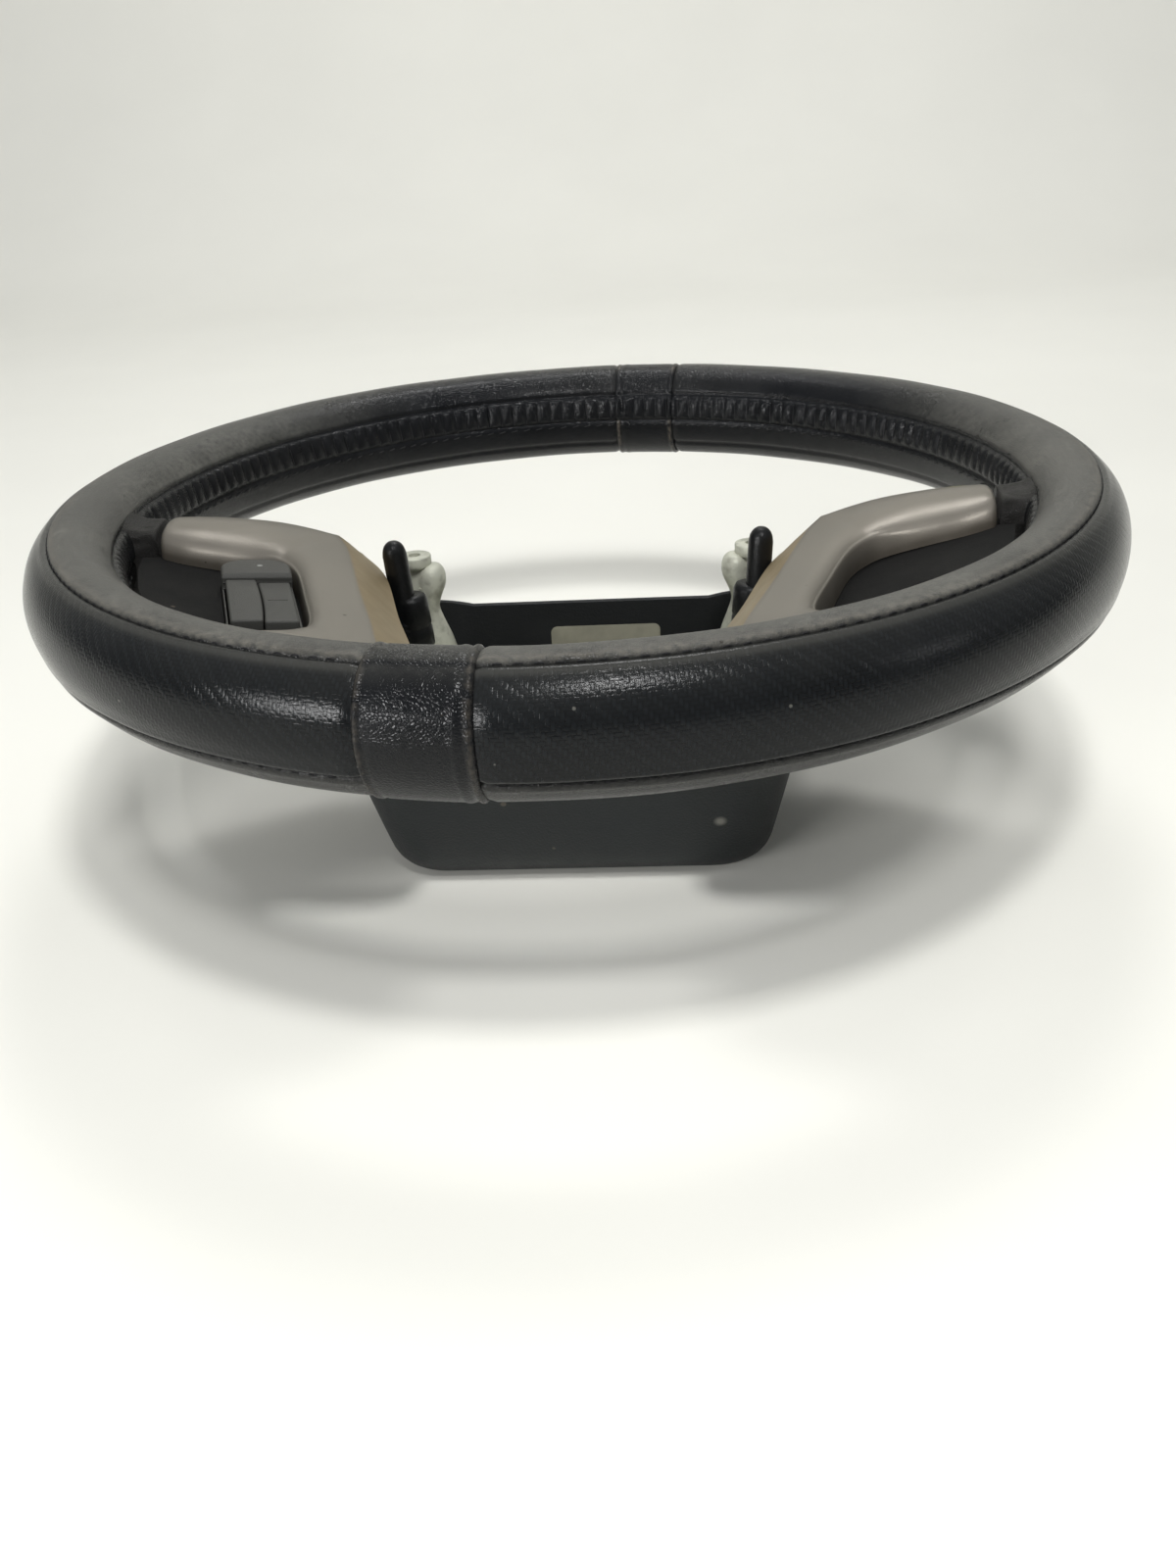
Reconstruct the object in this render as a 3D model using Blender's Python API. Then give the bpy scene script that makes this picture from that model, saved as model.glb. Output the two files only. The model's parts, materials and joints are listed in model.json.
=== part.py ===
"""Car steering wheel without its airbag, standing on its rear cover.

A leather-covered rim laced along its inside, a cast armature, silver spoke bezels, a switch pod on
the left spoke and a rear cover. Metres. +X is 3 o'clock, +Y is 12 o'clock and +Z faces the driver.
Spoke outlines are drawn for the right side and mirrored.
"""

import math

import bmesh
import bpy
from mathutils import Matrix, Vector

MM = 0.001

# Fits
CLEARANCE = 0.3 * MM
SLIDE_CLEARANCE = 0.5 * MM
OVERLAP = 1.0 * MM
WELD_DISTANCE = 0.002 * MM

# Rim and grip
GRIP_OUTER_RADIUS = 192.0 * MM
GRIP_HALF_WIDTH = 16.3 * MM
GRIP_HALF_DEPTH = 20.4 * MM
RIM_HEIGHT = 110.0 * MM
LEATHER_THICKNESS = 1.5 * MM
CORE_RADIUS = 6.0 * MM
LACING_RADIUS = 1.0 * MM
RING_STEPS = 40
SECTION_STEPS = 16

# Seams, in degrees round the grip's section: 0 outwards, 90 to the driver
FRONT_SEAM_ANGLE = 69.0
BACK_SEAM_ANGLE = -30.0
LACED_SEAM_ANGLE = 185.0
JOINT_ANGLE = -98.5
JOINT_WIDTH = 29.0 * MM
LACING_END_GAP = 7.0 * MM

# Spokes: the bezel's face is a plane that rises to the rim and falls towards 12 o'clock
SPOKE_END_GAP = 9.4 * MM
HUB_REACH = 75.0 * MM
WINDOW_REACH = 107.0 * MM
FACE_CORNER_X = 90.4 * MM
FACE_CORNER_Y = 8.5 * MM
FACE_CORNER_DROP = 6.0 * MM
FACE_RISE = 0.27
FACE_FALL = 0.078
BEZEL_DEPTH = 16.0 * MM
BEZEL_WALL = 2.8 * MM
BEVEL_KNEE = 11.5 * MM
WINDOW_DEPTH = 13.0 * MM
WINDOW_DRAFT = 1.5 * MM
PANEL_THICKNESS = 2.5 * MM
PANEL_OVERHANG = 6.0 * MM
PANEL_END_GAP = 4.6 * MM
SHELL_DEPTH = 34.0 * MM
SHELL_WALL = 2.5 * MM
SHELL_EDGE = 6.0 * MM
SHELL_DRAFT = 4.0 * MM
UPPER_COLLAR_ANGLE = -5.5
UPPER_COLLAR_WIDTH = 22.0 * MM
LOWER_COLLAR_ANGLE = -52.1
LOWER_COLLAR_WIDTH = 18.0 * MM
COLLAR_CHAMFER = 4.5 * MM
COLLAR_STEP = 1.2 * MM
COLLAR_SHORT = 3.0 * MM
SCREW_RADIUS = 1.6 * MM
SCREW_HEAD_RADIUS = 4.2 * MM
SCREW_HEAD_HEIGHT = 3.0 * MM
SCREW_HEAD_ROUND = 0.7 * MM
SCREW_SINK = 9.0 * MM
SCREW_TIP_DROP = 7.0 * MM
POST_WALL = 2.3 * MM

# Armature
ARM_DEPTH = 12.0 * MM
UPPER_ARM_WIDTH = 18.0 * MM
LOWER_ARM_WIDTH = 12.0 * MM
ARM_ROOT_RISE = 6.0 * MM
ARM_KNEE_DROP = 3.0 * MM
CORE_GRIP = 2.5 * MM
CORE_CLAMP_REACH = 9.7 * MM
PLATE_DROP = 72.0 * MM
PLATE_THICKNESS = 8.0 * MM
PLATE_SIDE_GAP = 3.0 * MM
PLATE_FAR_Y = 44.0 * MM
PLATE_NEAR_Y = -56.0 * MM
PLATE_CORNER = 24.0 * MM
BOSS_WALL = 6.0 * MM
BOSS_RISE = 8.0 * MM
BOSS_FOOT = 9.0 * MM
INSERT_RADIUS = 16.0 * MM
INSERT_RISE = 4.0 * MM
INSERT_FLANGE_WIDTH = 4.0 * MM
INSERT_FLANGE = 3.0 * MM
SPLINE_RADIUS = 8.5 * MM
SPLINE_DEPTH = 0.7 * MM
SPLINE_TEETH = 36
HARNESS_HOLE_RADIUS = 8.0 * MM
HARNESS_HOLE_X = 32.0 * MM
HARNESS_HOLE_Y = -18.0 * MM
PIN_RADIUS = 4.6 * MM
PIN_RING = 1.2 * MM
PIN_LENGTH = 43.6 * MM
PIN_NOSE = 8.0 * MM
PIN_COLLAR_TOP = 4.0 * MM
PIN_RIB_TOP = 12.0 * MM
PIN_LEAN_ANGLE = 3.3
PIN_SIDE_GAP = 1.8 * MM
PIN_BOSS_RADIUS = 6.6 * MM
PIN_BOSS_HEIGHT = 22.0 * MM
PIN_STUD_RADIUS = 2.5 * MM
PIN_STUD_LENGTH = 10.0 * MM
EAR_X = 62.0 * MM
EAR_Y = 26.0 * MM
EAR_HEIGHT = 47.0 * MM
SEAT_RADIUS = 6.3 * MM
SEAT_X = 66.8 * MM
SEAT_Y = 27.0 * MM
SEAT_HEIGHT = 51.0 * MM
SEAT_THICKNESS = 4.2 * MM
SEAT_POST_RADIUS = 4.0 * MM
DIMPLE_RADIUS = 2.4 * MM
DIMPLE_DEPTH = 3.0 * MM

# Rear cover
COVER_WALL = 2.6 * MM
COVER_FLOOR = 3.0 * MM
COVER_SHELL_GAP = 13.0 * MM
COVER_TOP_FALL = 0.02
FAR_WALL_DROP = 61.8 * MM
FAR_WALL_CURVE = 9.8 * MM
FAR_WALL_HALF = 65.0 * MM
COLUMN_RADIUS = 40.0 * MM
COVER_SCREW_X = 42.0 * MM
COVER_SCREW_FAR_Y = 22.0 * MM
COVER_SCREW_NEAR_Y = -38.0 * MM
COVER_SCREW_RADIUS = 2.4 * MM
COVER_SCREW_GRIP = 10.0 * MM
LABEL_WIDTH = 47.0 * MM
LABEL_HEIGHT = 24.0 * MM
LABEL_THICKNESS = 0.3 * MM
LABEL_X = 6.2 * MM
LABEL_EDGE_GAP = 3.2 * MM

# Switch pod, in its own frame: u inboard, v to 12 o'clock, w out of the key faces
POD_DROP = 5.0 * MM
POD_TURN_ANGLE = 18.9
POD_TILT_ANGLE = 8.0
POD_WIDTH = 23.6 * MM
POD_FOOT = 25.0 * MM
POD_SIDE_GAP = 0.4 * MM
POD_PLACE = 0.44
POD_HEAD = 36.5 * MM
POD_CORNER = 7.5 * MM
POD_WALL = 0.9 * MM
POD_RECESS_WALL = 2.0 * MM
WELL_DEPTH = 11.5 * MM
WELL_FLOOR = 1.4 * MM
WELL_TOP = 18.6 * MM
POD_FLANGE = 2.0 * MM
POD_FLANGE_CORNER = 3.0 * MM
HOOD_RISE = 1.6 * MM
HOOD_EDGE = 2.0 * MM
KEY_HEIGHT = 8.0 * MM
KEY_TRAVEL = 1.5 * MM
KEY_EDGE = 1.0 * MM
ROCKER_DROP = 0.6 * MM
ROCKER_PIVOT = 1.5 * MM
PLUNGER_RADIUS = 1.6 * MM
ROCKER_PLUNGER_RADIUS = 1.3 * MM
MAT_THICKNESS = 1.0 * MM
BOARD_THICKNESS = 1.4 * MM
BACK_THICKNESS = 1.6 * MM
SOCKET_WIDTH = 12.0 * MM
SOCKET_LENGTH = 10.0 * MM
SOCKET_DEPTH = 4.5 * MM
SOCKET_WALL = 1.0 * MM
LENS_RADIUS = 1.0 * MM
LENS_DEPTH = 2.0 * MM
LENS_HEAD_GAP = 8.0 * MM
LENS_U = 1.5 * MM

# Worked out from the sizes above
RIM_RADIUS = GRIP_OUTER_RADIUS - GRIP_HALF_WIDTH
GRIP_INNER_RADIUS = RIM_RADIUS - GRIP_HALF_WIDTH
SPOKE_REACH = GRIP_INNER_RADIUS - SPOKE_END_GAP
PLATE_TOP = RIM_HEIGHT - PLATE_DROP
PLATE_BOTTOM = PLATE_TOP - PLATE_THICKNESS
FOAM_DEPTH = LEATHER_THICKNESS + CLEARANCE
JOINT_HALF_ANGLE = math.degrees(JOINT_WIDTH / RIM_RADIUS / 2)
SEAM_GAP = math.degrees(CLEARANCE / RIM_RADIUS)
SECTION_GAP = math.degrees(CLEARANCE / GRIP_HALF_WIDTH)
BOSS_RADIUS = INSERT_RADIUS + BOSS_WALL
COVER_TOP_DROP = SHELL_DEPTH + COVER_SHELL_GAP
COVER_POST_RADIUS = SCREW_HEAD_RADIUS + POST_WALL
POD_STACK = MAT_THICKNESS + BOARD_THICKNESS + BACK_THICKNESS + 3 * CLEARANCE
POD_DEPTH = WELL_DEPTH + WELL_FLOOR + POD_STACK

# Right bezel in plan, from the rim end of the upper arm round to the rim end of the lower arm.
# Each row has the window's edge, the face's outer edge and the foot of the bevel, in millimetres
# for a spoke that reaches 150 mm.
DRAWN_REACH = 150.0 * MM
BEZEL_ROWS = (
    ((148.0, -25.5), (148.5, -5.0), (149.0, -1.5)),
    ((138.0, -26.5), (141.0, -1.5), (142.0, 1.5)),
    ((126.0, -25.5), (131.0, 2.5), (132.0, 6.0)),
    ((112.5, -25.0), (113.0, 7.5), (113.5, 14.5)),
    ((104.0, -27.5), (91.5, 8.5), (87.0, 24.0)),
    ((96.0, -38.0), (84.0, -9.0), (72.5, -3.0)),
    ((87.5, -62.0), (71.0, -52.0), (59.5, -47.0)),
    ((80.0, -87.0), (58.5, -91.0), (46.5, -90.0)),
    ((84.0, -96.5), (55.0, -111.0), (49.5, -117.0)),
    ((92.0, -105.0), (73.0, -121.0), (71.0, -125.0)),
    ((98.5, -112.0), (84.5, -123.0), (83.5, -125.0)),
)
# The bezel's crown: share of the way from the window to the face's edge, and millimetres of drop
BEZEL_CROWN = ((0.0, 4.2), (0.1, 2.0), (0.24, 0.7), (0.42, 0.1), (0.78, 0.0))
BEZEL_POSTS = ((98.5, 1.5), (74.0, -72.0))
# Rows of the bezel along the inboard side of its window, and the two that the pod lies between
SIDE_ROWS = (2, 8)
POD_HEAD_ROW = 3
POD_FOOT_ROW = 8


def clear_scene():
    for obj in list(bpy.data.objects):
        bpy.data.objects.remove(obj, do_unlink=True)


def material(name, colour, roughness, metallic=0.0):
    """A Principled material with an sRGB colour written as 0 to 255."""
    made = bpy.data.materials.get(name)
    if made:
        return made
    made = bpy.data.materials.new(name)
    made.use_nodes = True
    shader = made.node_tree.nodes["Principled BSDF"]
    linear = [((part / 255 + 0.055) / 1.055) ** 2.4 for part in colour]
    shader.inputs["Base Color"].default_value = (*linear, 1.0)
    shader.inputs["Roughness"].default_value = roughness
    shader.inputs["Metallic"].default_value = metallic
    made.diffuse_color = (*linear, 1.0)
    return made


FINISHES = {
    "embossed_leather": ((34, 36, 40), 0.42, 0.0),
    "smooth_leather": ((74, 75, 76), 0.6, 0.0),
    "thread": ((46, 46, 46), 0.75, 0.0),
    "foam": ((30, 30, 30), 0.9, 0.0),
    "core_steel": ((120, 120, 122), 0.45, 1.0),
    "cast_metal": ((165, 168, 155), 0.5, 0.6),
    "machined_steel": ((150, 150, 150), 0.35, 1.0),
    "silver_paint": ((152, 147, 140), 0.42, 0.25),
    "dark_plastic": ((45, 45, 45), 0.6, 0.0),
    "rear_plastic": ((40, 44, 46), 0.55, 0.0),
    "collar_rubber": ((38, 38, 38), 0.7, 0.0),
    "key_plastic": ((80, 80, 80), 0.5, 0.0),
    "lens_plastic": ((170, 170, 165), 0.2, 0.0),
    "silicone": ((190, 190, 185), 0.7, 0.0),
    "board": ((40, 80, 55), 0.5, 0.0),
    "pin_plastic": ((22, 23, 26), 0.38, 0.0),
    "screw_steel": ((110, 108, 100), 0.4, 1.0),
    "label_paper": ((178, 176, 158), 0.8, 0.0),
}


def mesh_object(name, points, faces, frame=None):
    """A closed mesh object whose faces are turned outwards. The frame places its own points."""
    mesh = bpy.data.meshes.new(name)
    mesh.from_pydata([tuple(point) for point in points], [], faces)
    work = bmesh.new()
    work.from_mesh(mesh)
    bmesh.ops.triangulate(work, faces=work.faces, quad_method="FIXED", ngon_method="EAR_CLIP")
    bmesh.ops.recalc_face_normals(work, faces=work.faces)
    work.to_mesh(mesh)
    work.free()
    made = bpy.data.objects.new(name, mesh)
    bpy.context.scene.collection.objects.link(made)
    if frame:
        made.matrix_world = frame
    return made


def finish(obj, finish_name):
    obj.data.materials.clear()
    obj.data.materials.append(material(finish_name, *FINISHES[finish_name]))
    return obj


def weld(mesh):
    """Joins points that a cut left closer than the smallest real feature."""
    work = bmesh.new()
    work.from_mesh(mesh)
    bmesh.ops.remove_doubles(work, verts=work.verts, dist=WELD_DISTANCE)
    work.to_mesh(mesh)
    work.free()


def combine(obj, other, operation="DIFFERENCE", keep=False):
    """Cuts other from obj, or joins it on, and drops other unless it is kept."""
    modifier = obj.modifiers.new(operation.lower(), "BOOLEAN")
    modifier.operation = operation
    modifier.solver = "EXACT"
    modifier.object = other
    bpy.context.view_layer.update()
    graph = bpy.context.evaluated_depsgraph_get()
    mesh = bpy.data.meshes.new_from_object(obj.evaluated_get(graph))
    obj.modifiers.remove(modifier)
    weld(mesh)
    old = obj.data
    obj.data = mesh
    bpy.data.meshes.remove(old)
    if not keep:
        bpy.data.objects.remove(other, do_unlink=True)
    return obj


def loft(name, loops, frame=None, closed=False):
    """A solid through loops of equal length. A closed loft joins its last loop to its first."""
    count = len(loops[0])
    points = [point for loop in loops for point in loop]
    faces = []
    spans = len(loops) if closed else len(loops) - 1
    for row in range(spans):
        near = row * count
        far = (row + 1) % len(loops) * count
        for index in range(count):
            after = (index + 1) % count
            faces.append((near + index, near + after, far + after, far + index))
    if not closed:
        faces.append(tuple(range(count)))
        faces.append(tuple(range(len(points) - count, len(points))))
    return mesh_object(name, points, faces, frame)


def box(name, low, high, frame=None):
    loops = [
        [(low[0], low[1], z), (high[0], low[1], z), (high[0], high[1], z), (low[0], high[1], z)]
        for z in (low[2], high[2])
    ]
    return loft(name, loops, frame)


def turned(name, profile, steps=24, centre=(0.0, 0.0), frame=None):
    """A solid turned about an upright axis, from (radius, height) pairs running up."""
    loops = []
    for radius, height in profile:
        loops.append(
            [
                (
                    centre[0] + radius * math.cos(math.tau * step / steps),
                    centre[1] + radius * math.sin(math.tau * step / steps),
                    height,
                )
                for step in range(steps)
            ]
        )
    return loft(name, loops, frame)


def cylinder(name, radius, low, high, centre=(0.0, 0.0), steps=20, frame=None):
    return turned(name, ((radius, low), (radius, high)), steps, centre, frame)


def inset(outline, distance):
    """The outline moved inwards by distance. It runs anticlockwise."""
    moved = []
    for index, here in enumerate(outline):
        before = Vector(outline[index - 1])
        after = Vector(outline[(index + 1) % len(outline)])
        here = Vector(here)
        edge_in = (here - before).normalized()
        edge_out = (after - here).normalized()
        normal_in = Vector((-edge_in.y, edge_in.x))
        normal_out = Vector((-edge_out.y, edge_out.x))
        corner = (normal_in + normal_out).normalized()
        moved.append(tuple(here + corner * (distance / max(0.35, corner.dot(normal_in)))))
    return moved


def screw(name, spot, radius, head_top, tip):
    """A screw put in from below, with its head rounded underneath."""
    head_foot = head_top - SCREW_HEAD_HEIGHT
    profile = (
        (SCREW_HEAD_RADIUS - SCREW_HEAD_ROUND, head_foot),
        (SCREW_HEAD_RADIUS, head_foot + SCREW_HEAD_ROUND),
        (SCREW_HEAD_RADIUS, head_top),
        (radius, head_top),
        (radius, tip),
    )
    return finish(turned(name, profile, 10, spot), "screw_steel")


# The rim


def chord_factor(angle, steps):
    """How far a point at this angle on a polygon's side lies from the centre, with corners at 1."""
    step = 360.0 / steps
    middle = (math.floor(angle / step) + 0.5) * step
    return math.cos(math.radians(step / 2)) / math.cos(math.radians(angle - middle))


def stations(start, end, steps):
    """The start, each whole step between, and the end, in degrees."""
    step = 360.0 / steps
    first = math.floor(start / step) + 1
    last = math.ceil(end / step)
    between = [index * step for index in range(first, last)]
    return [start] + [angle for angle in between if start + 0.2 < angle < end - 0.2] + [end]


def section_point(theta, depth):
    """(radius, height) of the grip's section, which has flat sides, this far under its surface."""
    factor = chord_factor(theta, SECTION_STEPS)
    across = (GRIP_HALF_WIDTH - depth) * math.cos(math.radians(theta)) * factor
    along = (GRIP_HALF_DEPTH - depth) * math.sin(math.radians(theta)) * factor
    return RIM_RADIUS + across, RIM_HEIGHT + along


def round_rim(radius, height, phi):
    factor = radius * chord_factor(phi, RING_STEPS)
    return factor * math.cos(math.radians(phi)), factor * math.sin(math.radians(phi)), height


def ring(name, section):
    """A closed ring with the given (radius, height) section."""
    loops = []
    for index in range(RING_STEPS):
        phi = index * 360.0 / RING_STEPS
        loops.append([round_rim(radius, height, phi) for radius, height in section])
    return loft(name, loops, closed=True)


def grip_ring(name, depth):
    return ring(name, [section_point(step * 360.0 / SECTION_STEPS, depth) for step in range(SECTION_STEPS)])


def core_ring(name, radius):
    corners = [math.tau * (step + 0.5) / 6 for step in range(6)]
    section = [(RIM_RADIUS + radius * math.cos(a), RIM_HEIGHT + radius * math.sin(a)) for a in corners]
    return ring(name, section)


def strip(name, theta_start, theta_end, phi_start, phi_end):
    """A strip of leather over part of the section, along part of the rim."""
    thetas = stations(theta_start, theta_end, SECTION_STEPS)
    section = [section_point(theta, 0.0) for theta in thetas]
    section += [section_point(theta, LEATHER_THICKNESS) for theta in reversed(thetas)]
    loops = []
    for phi in stations(phi_start, phi_end, RING_STEPS):
        loops.append([round_rim(radius, height, phi) for radius, height in section])
    return loft(name, loops)


def make_rim(arm_cutters):
    finish(core_ring("rim_core", CORE_RADIUS), "core_steel")
    foam = grip_ring("rim_foam", FOAM_DEPTH)
    combine(foam, core_ring("core_cutter", CORE_RADIUS + CLEARANCE))
    for cutter in arm_cutters:
        combine(foam, cutter, keep=True)
    finish(foam, "foam")
    near_edge = JOINT_ANGLE + JOINT_HALF_ANGLE
    far_edge = JOINT_ANGLE + 180.0 - JOINT_HALF_ANGLE
    past_joint = 2 * JOINT_HALF_ANGLE
    halves = {
        "right": (near_edge + SEAM_GAP, far_edge - SEAM_GAP),
        "left": (far_edge + past_joint + SEAM_GAP, near_edge + 360.0 - past_joint - SEAM_GAP),
    }
    bands = {
        "outer": (BACK_SEAM_ANGLE, FRONT_SEAM_ANGLE, "embossed_leather"),
        "front": (FRONT_SEAM_ANGLE + SECTION_GAP, LACED_SEAM_ANGLE - SECTION_GAP, "smooth_leather"),
        "back": (LACED_SEAM_ANGLE, 360.0 + BACK_SEAM_ANGLE - SECTION_GAP, "smooth_leather"),
    }
    for side, (phi_start, phi_end) in halves.items():
        for band, (theta_start, theta_end, look) in bands.items():
            leather = strip(f"cover_{band}_{side}", theta_start, theta_end, phi_start, phi_end)
            if band != "outer":
                for cutter in arm_cutters:
                    combine(leather, cutter, keep=True)
            finish(leather, look)
    for name, middle in (("cover_joint_near", JOINT_ANGLE), ("cover_joint_far", JOINT_ANGLE + 180.0)):
        joint = strip(
            name,
            LACED_SEAM_ANGLE - 360.0,
            LACED_SEAM_ANGLE - SECTION_GAP,
            middle - JOINT_HALF_ANGLE,
            middle + JOINT_HALF_ANGLE,
        )
        finish(joint, "smooth_leather")


def make_lacing():
    """The laced seam, in the four stretches that the spokes leave."""
    radius, height = section_point(LACED_SEAM_ANGLE, -LACING_RADIUS - CLEARANCE)
    corners = [math.tau * step / 6 for step in range(6)]
    section = [(radius + LACING_RADIUS * math.cos(a), height + LACING_RADIUS * math.sin(a)) for a in corners]
    beside_upper = math.degrees((UPPER_COLLAR_WIDTH / 2 + LACING_END_GAP) / GRIP_INNER_RADIUS)
    beside_lower = math.degrees((LOWER_COLLAR_WIDTH / 2 + LACING_END_GAP) / GRIP_INNER_RADIUS)
    upper_end = UPPER_COLLAR_ANGLE + beside_upper
    side_top = UPPER_COLLAR_ANGLE - beside_upper
    side_foot = LOWER_COLLAR_ANGLE + beside_lower
    lower_end = LOWER_COLLAR_ANGLE - beside_lower
    arcs = {
        "lacing_upper": (upper_end, 180.0 - upper_end),
        "lacing_right": (side_foot, side_top),
        "lacing_left": (180.0 - side_top, 180.0 - side_foot),
        "lacing_lower": (-180.0 - lower_end, lower_end),
    }
    for name, (start, end) in arcs.items():
        loops = [[round_rim(r, h, phi) for r, h in section] for phi in stations(start, end, RING_STEPS)]
        finish(loft(name, loops), "thread")


# The spokes


def plan(point):
    """A drawn plan point in metres. The window moves with the spoke's reach, the hub stays."""
    drawn = Vector(point) * MM
    share = (drawn.length - HUB_REACH) / (WINDOW_REACH - HUB_REACH)
    share = min(max(share, 0.0), 1.0)
    return drawn + drawn.normalized() * (SPOKE_REACH - DRAWN_REACH) * share


def face_height(x, y):
    """Height of the bezel's face plane."""
    rise = FACE_RISE * (abs(x) - FACE_CORNER_X) - FACE_FALL * (y - FACE_CORNER_Y)
    return RIM_HEIGHT - FACE_CORNER_DROP + rise


def bezel_rows():
    """(window edge, face edge, bevel foot) of each row, in metres."""
    return [tuple(plan(point) for point in row) for row in BEZEL_ROWS]


def on_side(loops, side):
    return [[(side * x, y, z) for x, y, z in loop] for loop in loops]


def bezel_section(row, hollow):
    """One cross-section of the bezel, from the window over the crown to the bevel's foot.

    The hollow's section lies one wall inside and runs on past the open back.
    """
    window, edge, foot = row
    out = (window - edge).normalized()
    bevel = foot - edge
    top_window = face_height(*window)
    top_edge = face_height(*edge)
    crown = []
    for share, drop in BEZEL_CROWN:
        spot = window.lerp(edge, share)
        crown.append((spot, face_height(*spot) - drop * MM))
    if hollow:
        inner_window = window - out * (BEZEL_WALL - WINDOW_DRAFT)
        inner_foot = foot - bevel.normalized() * min(BEZEL_WALL, bevel.length)
        inner_edge = edge - bevel.normalized() * BEZEL_WALL
        spots = [
            (inner_window, top_window - SHELL_DEPTH),
            (inner_window, top_window - 3 * BEZEL_WALL),
        ]
        spots += [(spot, height - BEZEL_WALL) for spot, height in crown[2:]]
        spots += [
            (inner_edge, top_edge - 1.5 * BEZEL_WALL),
            (inner_foot, top_edge - BEZEL_DEPTH + 0.7 * BEZEL_WALL),
            (inner_foot, top_edge - SHELL_DEPTH),
        ]
    else:
        lip = window + out * WINDOW_DRAFT
        spots = [
            (lip, face_height(*lip) - WINDOW_DEPTH),
            (window + out * WINDOW_DRAFT / 2, top_window - 0.6 * WINDOW_DEPTH),
        ]
        spots += crown
        spots += [
            (edge, top_edge - 0.3 * BEZEL_WALL),
            (edge + bevel * 0.88, top_edge - BEVEL_KNEE),
            (foot, top_edge - BEZEL_DEPTH),
        ]
    return [(spot.x, spot.y, height) for spot, height in spots]


def shortened(rows, distance):
    """The rows with both end rows moved inwards along the bar."""
    moved = list(rows)
    for end, beside in ((0, 1), (-1, -2)):
        moved[end] = tuple(
            here + (there - here).normalized() * min(distance, 0.8 * (there - here).length)
            for here, there in zip(rows[end], rows[beside])
        )
    return moved


def post_frame(point, side):
    x, y = plan(point)
    return side * x, y, face_height(x, y)


def make_bezel(name, side):
    rows = bezel_rows()
    bezel = loft(name, on_side([bezel_section(row, False) for row in rows], side))
    hollow_rows = shortened(rows, BEZEL_WALL)
    combine(bezel, loft("hollow", on_side([bezel_section(row, True) for row in hollow_rows], side)))
    for point in BEZEL_POSTS:
        x, y, top = post_frame(point, side)
        post = cylinder("post", SCREW_RADIUS + POST_WALL, top - BEZEL_DEPTH, top - BEZEL_WALL / 2, (x, y), 12)
        combine(bezel, post, "UNION")
        hole_top = top - SCREW_TIP_DROP + OVERLAP
        hole = cylinder("hole", SCREW_RADIUS + CLEARANCE, top - SHELL_DEPTH, hole_top, (x, y), 12)
        combine(bezel, hole)
    return finish(bezel, "silver_paint")


def rim_arc(radius, start, end, steps):
    """Plan points along an arc about the wheel's axis, ends left out, in degrees."""
    angles = [math.radians(start + (end - start) * step / steps) for step in range(1, steps)]
    return [(radius * math.cos(angle), radius * math.sin(angle)) for angle in angles]


def angle_of(point):
    return math.degrees(math.atan2(point[1], point[0]))


def shell_outline():
    """Plan outline of a spoke's back, anticlockwise: under the bevel's foot, then along the rim."""
    rows = bezel_rows()
    arc = rim_arc(SPOKE_REACH, angle_of(rows[-1][2]), angle_of(rows[0][2]), 6)
    return [tuple(foot) for window, edge, foot in rows] + arc


def shell_lip(outline):
    """The shell's top edge: level with the bezel's foot, and under the panel along the rim."""
    top = BEZEL_DEPTH + 1.5 * CLEARANCE
    feet = [face_height(*edge) - top for window, edge, foot in bezel_rows()]
    along_rim = [face_height(x, y) - top for x, y in outline[len(feet):]]
    return [(x, y, z) for (x, y), z in zip(outline, feet + along_rim)]


def under_face(outline, distance, drop):
    """The outline moved inwards, this far under the face plane."""
    moved = inset(outline, distance) if distance else outline
    return [(x, y, face_height(x, y) - drop) for x, y in moved]


def make_shell(name, side, arm_cutters):
    outline = shell_outline()
    top = BEZEL_DEPTH + CLEARANCE
    outer = [
        under_face(outline, SHELL_DRAFT, SHELL_DEPTH),
        under_face(outline, 0.0, SHELL_DEPTH - SHELL_EDGE),
        shell_lip(outline),
    ]
    inner = [
        shell_lip(inset(outline, SHELL_WALL)),
        under_face(outline, SHELL_WALL, SHELL_DEPTH - SHELL_EDGE),
        under_face(outline, SHELL_DRAFT + SHELL_WALL, SHELL_DEPTH - SHELL_WALL),
    ]
    shell = loft(name, on_side(outer + inner, side))
    head_seat = SHELL_DEPTH - SCREW_SINK
    for point in BEZEL_POSTS:
        x, y, face = post_frame(point, side)
        foot = face - SHELL_DEPTH + OVERLAP
        post = cylinder("post", SCREW_HEAD_RADIUS + POST_WALL, foot, face - top, (x, y), 16)
        combine(shell, post, "UNION")
        bore = cylinder("bore", SCREW_RADIUS + 2 * CLEARANCE, face - head_seat - OVERLAP, face, (x, y), 12)
        combine(shell, bore)
        levels = (face - 2 * SHELL_DEPTH, face - head_seat)
        sink = cylinder("sink", SCREW_HEAD_RADIUS + CLEARANCE, *levels, (x, y), 16)
        combine(shell, sink)
    for cutter in arm_cutters:
        combine(shell, cutter, keep=True)
    if side < 0:
        combine(shell, pod_flange("pod_room", CLEARANCE, -POD_DEPTH - CLEARANCE))
    return finish(shell, "rear_plastic")


def make_bezel_screws(label, side):
    drop = SHELL_DEPTH - SCREW_SINK + CLEARANCE
    for index, point in enumerate(BEZEL_POSTS):
        x, y, face = post_frame(point, side)
        screw(f"bezel_screw_{label}_{index + 1}", (x, y), SCREW_RADIUS, face - drop, face - SCREW_TIP_DROP)


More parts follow.
